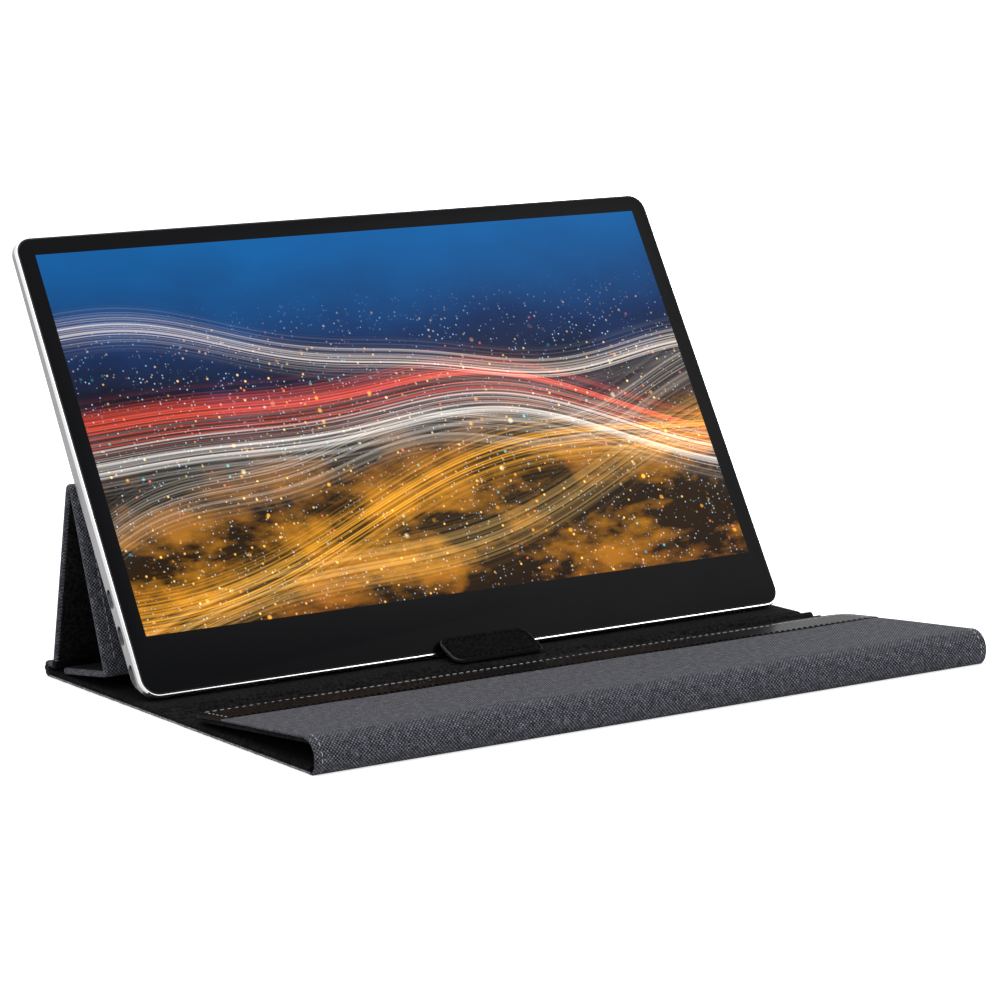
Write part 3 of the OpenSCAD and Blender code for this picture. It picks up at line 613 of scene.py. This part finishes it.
fold_low, fold_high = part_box("rear_fold_strip")
fold_r = (fold_high.z - fold_low.z) / 2
fold_arc = bend((fold_low.y, fold_low.z + fold_r), fold_r, -pi / 2, pi / 2, radians(3))
fold_run = chained(fold_arc, base_rear_run[-1][3])
back_start, back_end, _ = run_of("rear_spine_fabric", pi)
leg_start, leg_end, leg_angle = run_of("rear_leg_fabric", radians(102))
front_leg_start, front_leg_end, front_leg_angle = run_of("front_leg_fabric", radians(251))
tail_start, tail_end, tail_angle = run_of("tail_fabric", radians(356))
ridge = corner_between(leg_start, leg_angle, front_leg_start, front_leg_angle)
toe = corner_between(front_leg_start, front_leg_angle, tail_start, tail_angle)
back_run = chained(straight(back_start, back_end, step=0.0012), fold_run[-1][3])
leg_run = chained(straight(leg_start, leg_end), back_run[-1][3] + 0.003)
ridge_run = chained(fold_over(ridge, leg_end, leg_angle, front_leg_start, front_leg_angle),
                    leg_run[-1][3])
front_leg_run = chained(straight(front_leg_start, front_leg_end, turns=1), ridge_run[-1][3])
toe_run = chained(fold_over(toe, front_leg_end, front_leg_angle, tail_start, tail_angle),
                  front_leg_run[-1][3])
tail_len = float(np.linalg.norm(tail_end - tail_start))
tail_marks = [tail_len - d for d in TAIL_STEPS]
tail_run = chained(straight(tail_start, tail_end, fine=tail_marks, turns=1), toe_run[-1][3])
tail_end_s = tail_run[-1][3]


def tail_half(s):
    return HALF_WIDTH - corner_cut(TAIL_CORNER, max(tail_end_s - s, 0.0))


for name, run, nodes, bodies in (
    ("rear_fold", fold_run, ["rear_fold_strip"], ("base_rear", "rear_spine")),
    ("rear_spine", back_run, ["rear_spine_fabric", "rear_spine_board"], ("rear_spine",)),
    ("rear_leg", leg_run, ["rear_leg_fabric", "rear_leg_board"], ("rear_leg",)),
    ("ridge", ridge_run, ["ridge_fold_strip"], ("rear_leg", "front_leg")),
    ("front_leg", front_leg_run, ["front_leg_fabric", "front_leg_board"], ("front_leg",)),
    ("toe", toe_run, ["tail_fold_strip"], ("front_leg", "tail")),
    ("tail", tail_run, ["tail_fabric", "tail_board", "tail_magnets"], ("tail",)),
):
    half, lift = HALF_WIDTH, lambda x, s: 0.6 * uneven(x, s)
    cloth_t, suede_from, suede_to = WRAP_T, WRAP_T - SUEDE_OVER, PANEL_T - SUEDE_LOW
    if len(bodies) == 2:
        lift = None
    if name == "rear_fold":
        lift, cloth_t, suede_from, suede_to = tuck, FOLD_CLOTH_T, FOLD_CLOTH_T, FOLD_T
    if name == "tail":
        half = tail_half
    cloth = layer_along(name + "_cloth", run, half, 0.0, cloth_t, WRAP_ROUND, CLOTH, lift=lift)
    if name == "tail":
        run = [q for q in run if q[3] < tail_end_s - SUEDE_SHORT]
    suede = layer_along(name + "_suede", run,
                        lambda s: value_at(half, min(s, tail_end_s - SUEDE_SHORT)) - SUEDE_IN,
                        suede_from, suede_to, SUEDE_ROUND, LINING)
    lining_node = name + "_lining"
    fasten(cloth, "fabric", nodes, *bodies, run=run)
    fasten(suede, "lining", [lining_node] if lining_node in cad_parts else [], *bodies,
           run=run)

# The fold at the foot of the rear leg. Only lining joins the leg to the rear spine there, as
# a low wedge set in place between them.
FOOT_INSET = 0.0006
foot_top = leg_start + PANEL_T * np.array((-sin(leg_angle), cos(leg_angle)))
foot_low, foot_toe = back_end - (0, PANEL_T), back_end - (0.0012, PANEL_T - 0.0003)
profile = [back_end, leg_start, foot_top, foot_toe, foot_low]
foot_points = [(x, *p) for x in (-HALF_WIDTH + FOOT_INSET, HALF_WIDTH - FOOT_INSET)
               for p in profile]
foot_faces = [tuple(range(5)), tuple(range(5, 10))[::-1], *ring_faces(5, 2)]
foot = solid_from("leg_foot_fold", foot_points, foot_faces, [LINING], runs=foot_points)
fasten(foot, "lining", ["leg_fold_strip"], "rear_spine", "rear_leg", [back_end, leg_start])

# Stitches down both ends of the prop's front leg: grey thread through the cloth's hem, the
# only sewing that shows on the prop.
LEG_HEM, LEG_STITCH, LEG_CLEAR = 0.0058, (0.0042, 0.003, 0.00026), 0.001
GREY_THREAD = thread_finish("grey_thread", (0.30, 0.30, 0.31))
leg_marks = np.linspace(front_leg_run[0][3] + LEG_CLEAR, front_leg_run[-1][3] - LEG_CLEAR, 60)
for side, word in ((-1, "left"), (1, "right")):
    row = sewn_line(front_leg_run, [(side * (HALF_WIDTH - LEG_HEM), s) for s in leg_marks], 0.0)
    sewn = stitches(f"leg_stitches_{word}", row, *LEG_STITCH, GREY_THREAD)
    fasten(sewn, "fabric", [], "front_leg")


# Leather tab: two layers of black suede-finished leather sewn round with black thread. Its
# foot is sewn to the base, and it folds up and back against the screen's lower edge.
TAB_T, TAB_BENDS, TAB_CORNER, TAB_ROUND = 0.0017, 0.006, 0.0048, 0.0005
TAB_HEM, TAB_STITCH = 0.0022, (0.003, 0.0016, 0.0003)
TAB_LOW_LEN, TAB_LOW_ANGLE = 0.0086, radians(22)
SQUARE_SHARE, SQUARE_FADE, SQUARE_ANGLE = 0.85, 0.015, 0.5
TAB_LEATHER = suede_finish("tab_suede", (0.0044, 0.0044, 0.0046), 0.7)
TAB_EDGE = new_finish("tab_edge", (0.015, 0.015, 0.016), 0.6)
tab_low, tab_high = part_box("tab_leather")
tab_middle = (tab_low.x + tab_high.x) / 2
tab_wide = (tab_high.x - tab_low.x) / 2
tab_seen = side_view("tab_leather")
tab_fold = tab_seen[np.argmin(tab_seen @ (0.75, 1.0))] - (0.0015, 0.0009)
tab_tip = tab_seen[np.argmax(tab_seen @ (1.0, 0.5))] - (0.0012, 0.0023)
tab_bend = tab_fold + TAB_LOW_LEN * np.array((cos(TAB_LOW_ANGLE), sin(TAB_LOW_ANGLE)))
tab_line = [tab_fold + (tab_bend - tab_fold) * f for f in (0, 0.24, 0.43, 0.62, 0.81)]
tab_line += [tab_bend + (tab_tip - tab_bend) * f for f in (0, 0.19, 0.38, 0.57, 0.76, 1)]
tab_ways = [b - a for a, b in zip([tab_line[0], *tab_line], [*tab_line[1:], tab_line[-1]])]
tab_run = chained([(*p, atan2(way[1], way[0])) for p, way in zip(tab_line, tab_ways)])
tab_len = tab_run[-1][3]
tab_marks = [0, 0.0003, 0.0008, 0.0015, 0.0025, 0.0038, 0.005]
tab_marks += [*np.linspace(0.0065, tab_len - 0.006, 8)]
tab_marks += [tab_len - d for d in (0.0045, 0.0035, 0.0022, 0.0012, 0.0006, 0.0002, 0)]


def tab_half(s):
    return tab_wide - corner_cut(TAB_CORNER, min(s, tab_len - s))


tab = layer_along("tab", [(*on_run(tab_run, s), s) for s in tab_marks], tab_half, 0.0, TAB_T,
                  TAB_ROUND, TAB_LEATHER, columns=24, edge=TAB_EDGE)
for vertex in tab.data.vertices:
    # The right corner at the fold is nearly square.
    x, y, z = vertex.co
    s = (y - tab_fold[0]) * cos(SQUARE_ANGLE) + (z - tab_fold[1]) * sin(SQUARE_ANGLE)
    if x > 0:
        cut = corner_cut(TAB_CORNER, max(s, 0))
        vertex.co.x += cut * SQUARE_SHARE * min(1.0, x / SQUARE_FADE)
tab.data.transform(Matrix.Translation((tab_middle, 0, 0)))
tab_root = [on_run(tab_run, 0.0), on_run(tab_run, TAB_BENDS)]
fasten(tab, "tab_leather", ["tab_leather"], "base_rear", "tab", tab_root)
x, low, high, cut = tab_wide - TAB_HEM, TAB_HEM, tab_len - TAB_HEM, 0.0025
loop = [(-x, low + cut), (-x, high - cut), (-x + cut, high), (x - cut, high),
        (x, high - cut), (x, low + cut), (x - cut, low), (-x + cut, low), (-x, low + cut)]
around = [(tab_middle + a[0] + (b[0] - a[0]) * f, a[1] + (b[1] - a[1]) * f)
          for a, b in zip(loop, loop[1:]) for f in np.linspace(0, 1, 10)[:-1]]
sewn = stitches("tab_stitches", sewn_line(tab_run, around, TAB_T), *TAB_STITCH, BLACK_THREAD)
fasten(sewn, "tab_leather", [], "base_rear", "tab", tab_root)


def refinish(node, finish):
    """Gives a solid of the frame its finish; its shape is shown as it is."""
    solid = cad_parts[node]
    solid.data.materials.clear()
    solid.data.materials.append(finish)


refinish("tab_foot", TAB_LEATHER)


# Display, its glass: one sheet covers the whole front. The black border printed on its back
# frames the picture, and its edge is ground to a soft curve.
GLASS_HALF, GLASS_LOW, GLASS_HIGH = 0.1807, 0.0001, 0.2305
GLASS_T, GLASS_EDGE, GLASS_CORNER = 0.0011, 0.00045, 0.008
PICTURE_HALF, PICTURE_LOW, PICTURE_HIGH = 0.1721, 0.0282, 0.2218
PANEL_BOTTOM, PANEL_DEPTH = 0.0197, 0.0012
ARC_POINTS = 13
BLACK_GLASS = new_finish("black_glass", (0.0012, 0.0014, 0.0022), 0.3, specular=0.045)
GLASS_RIM = new_finish("glass_rim", (0.004, 0.0042, 0.005), 0.25)
border = Wiring(BLACK_GLASS)
film = border.noise(border.place(), 22.0, 3.0)
border.paint("Roughness", border.spread(film, 0.3, 0.7, 0.28, 0.33))
_, _, up_angle = run_of("display_panel", radians(59))
UP = np.array((cos(up_angle), sin(up_angle)))
FORWARD = np.array((-UP[1], UP[0]))
panel_seen = side_view("display_panel")
panel_corner = panel_seen[np.argmin(panel_seen @ (UP - FORWARD))]
screen_foot = panel_corner - UP * PANEL_BOTTOM + FORWARD * PANEL_DEPTH


def on_screen(x, v, forward=0.0):
    """A point by its place across the screen, up it, and out of the glass."""
    return (x, *(screen_foot + UP * v + FORWARD * forward))


def glass_outline(inset):
    """The glass's outline in order, with the same number of points at each inset."""
    r = GLASS_CORNER - inset
    x, low, high = GLASS_HALF - inset - r, GLASS_LOW + inset + r, GLASS_HIGH - inset - r
    out = []
    for cx, cv, from_a in ((x, high, 0), (-x, high, 90), (-x, low, 180), (x, low, 270)):
        for i in range(ARC_POINTS):
            a = radians(from_a + 90 * i / (ARC_POINTS - 1))
            out.append((cx + r * cos(a), cv + r * sin(a)))
    return out


bevel = [pi / 2 * i / 6 for i in range(1, 7)]
levels = [(0, -GLASS_T), (0, -GLASS_EDGE)]
levels += [(GLASS_EDGE * (1 - cos(a)), GLASS_EDGE * (sin(a) - 1)) for a in bevel]
points = [on_screen(x, v, out) for inset, out in levels for x, v in glass_outline(inset)]
n = 4 * ARC_POINTS
front_ring = len(points) - n
faces = ring_faces(n, len(levels))
window = [(PICTURE_HALF, PICTURE_HIGH), (-PICTURE_HALF, PICTURE_HIGH),
          (-PICTURE_HALF, PICTURE_LOW), (PICTURE_HALF, PICTURE_LOW)]
front_window, back_window = len(points), len(points) + 4
points += [on_screen(x, v, out) for out in (0, -GLASS_T) for x, v in window]
for ring, hole, turn in ((front_ring, front_window, -1), (0, back_window, 1)):
    for q in range(4):
        first = q * ARC_POINTS + ARC_POINTS // 2
        chain = [ring + (first + i) % n for i in range(ARC_POINTS + 1)]
        faces.append(tuple([*chain, hole + (q + 1) % 4, hole + q][::turn]))
faces += ring_faces(4, 2, front_window)
glass = solid_from("front_glass", points, faces, [BLACK_GLASS, GLASS_RIM], crease=radians(30))
for face in glass.data.polygons:
    face.material_index = 1 if n <= face.index < front_ring else 0
fasten(glass, "glass", ["cover_glass"], "monitor")


# The picture that the display shows: a made-up pattern of light, blue dusk above and amber
# glow below, with ribbons of light winding across it and small points of light.
PICTURE_T = 0.001
DUSK = ((0.0, (0.40, 0.135, 0.008)), (0.17, (0.56, 0.22, 0.010)), (0.34, (0.30, 0.115, 0.014)),
        (0.47, (0.05, 0.028, 0.026)), (0.58, (0.010, 0.014, 0.04)), (0.72, (0.006, 0.03, 0.12)),
        (0.86, (0.004, 0.075, 0.25)), (1.0, (0.003, 0.12, 0.38)))
# Each ribbon: its height at the left edge, its slope, waves (size, rate, phase), its width,
# how finely it is streaked, its colour and strength.
RIBBONS = (
    (0.74, -0.15, [(0.05, 5.4, 1.2), (0.015, 14.0, 0.0)], 0.032, 7.0, (1.0, 0.86, 0.74), 0.9),
    (0.60, -0.22, [(0.09, 4.6, 5.0), (0.02, 11.0, 0.4)], 0.045, 9.0, (1.0, 0.10, 0.05), 1.1),
    (0.52, -0.20, [(0.09, 4.6, 5.0), (0.02, 11.0, 0.4)], 0.05, 9.0, (1.0, 0.95, 0.9), 0.95),
    (0.22, 0.36, [(0.07, 5.0, 0.3), (0.03, 13.0, 1.0)], 0.05, 9.0, (0.8, 0.72, 0.6), 0.5),
    (0.10, 0.30, [(0.07, 6.1, 4.0)], 0.05, 10.0, (1.0, 0.45, 0.03), 0.9),
    (-0.06, 0.42, [(0.05, 7.0, 0.5)], 0.05, 9.0, (1.0, 0.62, 0.2), 0.4),
)
# Each sort of light point: how many across, their size, the share left out, colour, seed,
# the heights where they begin and are all there, and strength.
LIGHTS = (
    (60.0, 0.24, 0.55, (1.0, 0.62, 0.16), 8.0, (0.82, 0.62), 1.6),
    (110.0, 0.3, 0.5, (0.55, 0.8, 1.0), 3.0, (0.84, 0.66), 0.9),
    (26.0, 0.19, 0.7, (1.0, 0.45, 0.04), 2.0, (0.72, 0.45), 1.8),
    (34.0, 0.17, 0.72, (0.05, 0.75, 0.8), 11.0, (0.7, 0.5), 1.1),
    (46.0, 0.2, 0.72, (1.0, 0.2, 0.12), 14.0, (0.8, 0.6), 1.2),
    (15.0, 0.13, 0.72, (1.0, 0.8, 0.45), 5.0, (0.6, 0.35), 1.5),
)
PICTURE = new_finish("lit_picture", (0.0, 0.0, 0.0), 0.3, specular=0.04)
p = Wiring(PICTURE)
_, px, py = p.run()
wide = p.times(px, 1.778)
ramp = p.tree.nodes.new("ShaderNodeValToRGB")
stops = ramp.color_ramp.elements
stops.remove(stops[0])
for height, colour in DUSK:
    stop = stops.new(height) if height else stops[0]
    stop.position = height
    stop.color = (*colour, 1)
haze = p.noise(p.spot(wide, p.times(py, 1.6), 0.3), 2.4, 5.0)
shifted = p.sum("ADD", py, p.times(p.sum("SUBTRACT", haze, 0.5), 0.3))
p.tree.links.new(shifted, ramp.inputs[0])
clouds = p.noise(p.spot(wide, p.times(py, 2.2), 7.3), 3.6, 6.0, 0.6)
dark = p.sum("SUBTRACT", 1.0, p.spread(clouds, 0.45, 0.61, 0.04, 1.0))
below = p.spread(py, 0.75, 0.5, 0.0, 1.0)
glow = p.scaled(ramp.outputs[0], p.sum("SUBTRACT", 1.0, p.times(below, dark)))


def light_ribbon(under, base, slope, waves, width, streak, colour, strength):
    """Adds a bundle of light trails that follows a wavy line across the picture."""
    line = p.sum("MULTIPLY_ADD", px, slope, base)
    for size, rate, phase in waves:
        wave = p.sum("SINE", p.sum("MULTIPLY_ADD", px, rate, phase))
        line = p.sum("ADD", line, p.times(wave, size))
    off = p.sum("DIVIDE", p.sum("SUBTRACT", py, line), width)
    body = p.sum("EXPONENT", p.times(off, off, -1.0))
    grain = p.noise(p.spot(p.times(off, streak), p.times(px, 0.6), base * 9), 1.0, 2.0)
    trails = p.spread(grain, 0.44, 0.66, 0.05, 1.0)
    return p.added(under, p.scaled(colour, p.times(body, trails, strength)))


def light_points(under, scale, size, left_out, colour, seed, heights, strength):
    """Adds small round lights, each sort with its own size, colour and heights."""
    cells = p.tree.nodes.new("ShaderNodeTexVoronoi")
    p.tree.links.new(p.spot(wide, py, seed), cells.inputs["Vector"])
    cells.inputs["Scale"].default_value = scale
    cells.inputs["Randomness"].default_value = 0.85
    disc = p.spread(cells.outputs["Distance"], size, size * 0.5, 0.0, 1.0)
    chance = p.node("ShaderNodeSeparateColor", cells.outputs["Color"])
    chosen = p.spread(chance, left_out, 1.0, 0.0, strength)
    low_down = p.spread(py, *heights, 0.0, 1.0)
    return p.added(under, p.scaled(colour, p.times(disc, chosen, low_down)))


for ribbon in RIBBONS:
    glow = light_ribbon(glow, *ribbon)
for light in LIGHTS:
    glow = light_points(glow, *light)
p.paint("Emission Color", glow)
p.shader.inputs["Emission Strength"].default_value = 1.0
corners = window[2:] + window[:2]
points = [on_screen(x, v, out) for out in (0, -PICTURE_T) for x, v in corners]
faces = [(0, 1, 2, 3), (7, 6, 5, 4), *ring_faces(4, 2)]
picture = solid_from("lit_picture", points, faces, [PICTURE], crease=radians(30),
                     runs=[(0, 0, 0), (1, 0, 0), (1, 1, 0), (0, 1, 0)] * 2)
fasten(picture, "display", ["display_panel"], "monitor")


# Housing, keys and sockets: milled and anodised aluminium with a bright cut chamfer round
# the glass, keys of the same metal, and pressed steel sockets with plastic tongues.
CHAMFER_DEEP, CHAMFER_LOW, LOW_END = 0.0017, 0.0008, 0.008


def metal_finish(name, colour, roughness, brush):
    made = new_finish(name, colour, roughness, metallic=1.0)
    w = Wiring(made)
    w.bump(w.noise(w.place(), 1900.0, 2.0), brush, 0.00005)
    cloud = w.noise(w.place(), 18.0, 2.0)
    w.paint("Roughness", w.spread(cloud, 0.3, 0.7, roughness - 0.03, roughness + 0.05))
    return made


def moulded_finish(name, colour, roughness):
    made = new_finish(name, colour, roughness)
    w = Wiring(made)
    w.bump(w.noise(w.place(), 1400.0, 2.0), 0.2, 0.0001)
    return made


ANODISED = metal_finish("anodised_aluminium", (0.44, 0.43, 0.44), 0.36, 0.15)
POLISHED = metal_finish("polished_chamfer", (0.88, 0.88, 0.88), 0.16, 0.03)
STEEL = metal_finish("pressed_steel", (0.55, 0.56, 0.58), 0.3, 0.1)
BLACK_PLASTIC = moulded_finish("black_plastic", (0.012, 0.012, 0.013), 0.5)
WHITE_FILM = moulded_finish("white_film", (0.8, 0.8, 0.8), 0.6)
BOARD = moulded_finish("circuit_board", (0.02, 0.12, 0.06), 0.5)
AMBER_FILM = moulded_finish("flex_film", (0.35, 0.15, 0.03), 0.35)
CLEAR_GUIDE = moulded_finish("light_guide", (0.75, 0.82, 0.86), 0.2)
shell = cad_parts["rear_housing"].data.copy()
back_from_glass = []
for vertex in shell.vertices:
    # The chamfer's inner edge is moved back, by less along the display's lower edge.
    place = np.array((vertex.co.y, vertex.co.z)) - screen_foot
    depth = -(place @ FORWARD)
    if 0.0004 < depth < 0.0008:
        share = min(max((place @ UP) / LOW_END, 0.0), 1.0)
        slide = depth - (CHAMFER_LOW + (CHAMFER_DEEP - CHAMFER_LOW) * share)
        vertex.co.y += FORWARD[0] * slide
        vertex.co.z += FORWARD[1] * slide
        depth = CHAMFER_DEEP
    back_from_glass.append(depth)
shell.materials.clear()
shell.materials.append(ANODISED)
shell.materials.append(POLISHED)
at_vertex = {}
for face in shell.polygons:
    deepest = max(back_from_glass[i] for i in face.vertices)
    face.material_index = 1 if deepest < CHAMFER_DEEP + 0.0001 else 0
    for i in face.vertices:
        at_vertex.setdefault(i, []).append((face.normal.copy(), face.area))
shell.polygons.foreach_set("use_smooth", [True] * len(shell.polygons))
corner_normals = []
for face in shell.polygons:
    for i in face.vertices:
        near = [n * area for n, area in at_vertex[i] if n.dot(face.normal) > 0.9]
        total = sum(near, Vector())
        corner_normals.append(total.normalized() if total.length else face.normal)
shell.normals_split_custom_set(corner_normals)
housing = bpy.data.objects.new("housing_shell", shell)
bpy.context.scene.collection.objects.link(housing)
fasten(housing, "aluminium", ["rear_housing"], "monitor")
for finish, nodes in (
    (ANODISED, ["power_button", "menu_rocker"]),
    (STEEL, ["usb_c_port_upper", "usb_c_port_lower", "mini_hdmi_port", "backlight_tray",
             "board_screws"]),
    (BLACK_PLASTIC, ["audio_jack", "mid_frame", "speaker_left", "speaker_right"]),
    (WHITE_FILM, ["diffuser_film", "reflector_sheet", "led_strip"]),
    (CLEAR_GUIDE, ["light_guide"]),
    (BOARD, ["source_board", "main_board", "key_board"]),
    (AMBER_FILM, ["panel_flex"]),
):
    for node in nodes:
        refinish(node, finish)


# Room: a plain white floor and background, soft lamps above, and the camera where the
# photograph was taken from, in metres and degrees.
FLOOR_HALF = 40
FLOOR_LIFT, BACK_LIGHT, BACK_SEEN = 0.58, 0.5, 1.0
SEEN_FROM = (-0.9352, -1.415845, 0.3644)
AZIMUTH, ELEVATION, ROLL = (radians(a) for a in (-33.4968, 9.5318, -0.8199))
LENS, SENSOR = 131.507, 36
square = [(-FLOOR_HALF, -FLOOR_HALF, 0), (FLOOR_HALF, -FLOOR_HALF, 0),
          (FLOOR_HALF, FLOOR_HALF, 0), (-FLOOR_HALF, FLOOR_HALF, 0)]
floor_mesh = bpy.data.meshes.new("floor")
floor_mesh.from_pydata(square, [], [(0, 1, 2, 3)])
floor = bpy.data.objects.new("floor", floor_mesh)
bpy.context.scene.collection.objects.link(floor)
floor.location.z = cad_low.z - 0.0002
FLOOR = new_finish("pale_floor", (0.9, 0.9, 0.9), 0.9)
floor_mesh.materials.append(FLOOR)
f = Wiring(FLOOR)
seen = f.node("ShaderNodeLightPath", out=0)
# Where the camera sees the floor it is lifted to white, and it keeps its shadow.
lift = f.node("ShaderNodeEmission", Color=(1, 1, 1, 1), Strength=FLOOR_LIFT)
both = f.node("ShaderNodeAddShader", f.shader.outputs[0], lift)
picked = f.node("ShaderNodeMixShader", seen, f.shader.outputs[0], both)
f.tree.links.new(picked, f.tree.nodes["Material Output"].inputs[0])
floor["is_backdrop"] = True

world = bpy.data.worlds.new("room")
bpy.context.scene.world = world
world.use_nodes = True
nodes, links = world.node_tree.nodes, world.node_tree.links
unseen, white = nodes["Background"], nodes.new("ShaderNodeBackground")
for back, strength in ((unseen, BACK_LIGHT), (white, BACK_SEEN)):
    back.inputs[0].default_value = (1, 1, 1, 1)
    back.inputs[1].default_value = strength
ray = nodes.new("ShaderNodeLightPath")
either = nodes.new("ShaderNodeMath")
either.operation = "MAXIMUM"
links.new(ray.outputs["Is Camera Ray"], either.inputs[0])
links.new(ray.outputs["Is Glossy Ray"], either.inputs[1])
mix = nodes.new("ShaderNodeMixShader")
for i, source in enumerate((either, unseen, white)):
    links.new(source.outputs[0], mix.inputs[i])
links.new(mix.outputs[0], nodes["World Output"].inputs[0])

for name, place, aim, size, power in (
    ("overhead", (0.0, 0.1, 1.6), (0, 0, 0), 3.0, 25),
    ("front_left", (-1.3, -0.9, 0.9), (0, 0, 0.05), 0.8, 1.5),
    ("front_right", (1.15, -0.85, 1.15), (0.1, 0, 0.1), 0.7, 5),
):
    lamp = bpy.data.lights.new(name, "AREA")
    lamp.shape, lamp.size, lamp.energy = "SQUARE", size, power
    stand = bpy.data.objects.new(name, lamp)
    bpy.context.scene.collection.objects.link(stand)
    stand.location = place
    stand.rotation_mode = "QUATERNION"
    stand.rotation_quaternion = (Vector(aim) - Vector(place)).to_track_quat("-Z", "Y")

eye = Vector((sin(AZIMUTH) * cos(ELEVATION), -cos(AZIMUTH) * cos(ELEVATION), sin(ELEVATION)))
right = Vector((0, 0, 1)).cross(eye).normalized()
up = eye.cross(right)
axes = Matrix((cos(ROLL) * right + sin(ROLL) * up, cos(ROLL) * up - sin(ROLL) * right, eye))
camera = bpy.data.objects.new("camera", bpy.data.cameras.new("camera"))
bpy.context.scene.collection.objects.link(camera)
camera.data.sensor_width, camera.data.lens = SENSOR, LENS
camera.data.clip_start, camera.data.clip_end = 0.01, 100
camera.matrix_world = Matrix.Translation(SEEN_FROM) @ axes.transposed().to_4x4()
bpy.context.scene.camera = camera
bpy.context.scene.view_settings.view_transform = "Standard"

low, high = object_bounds()
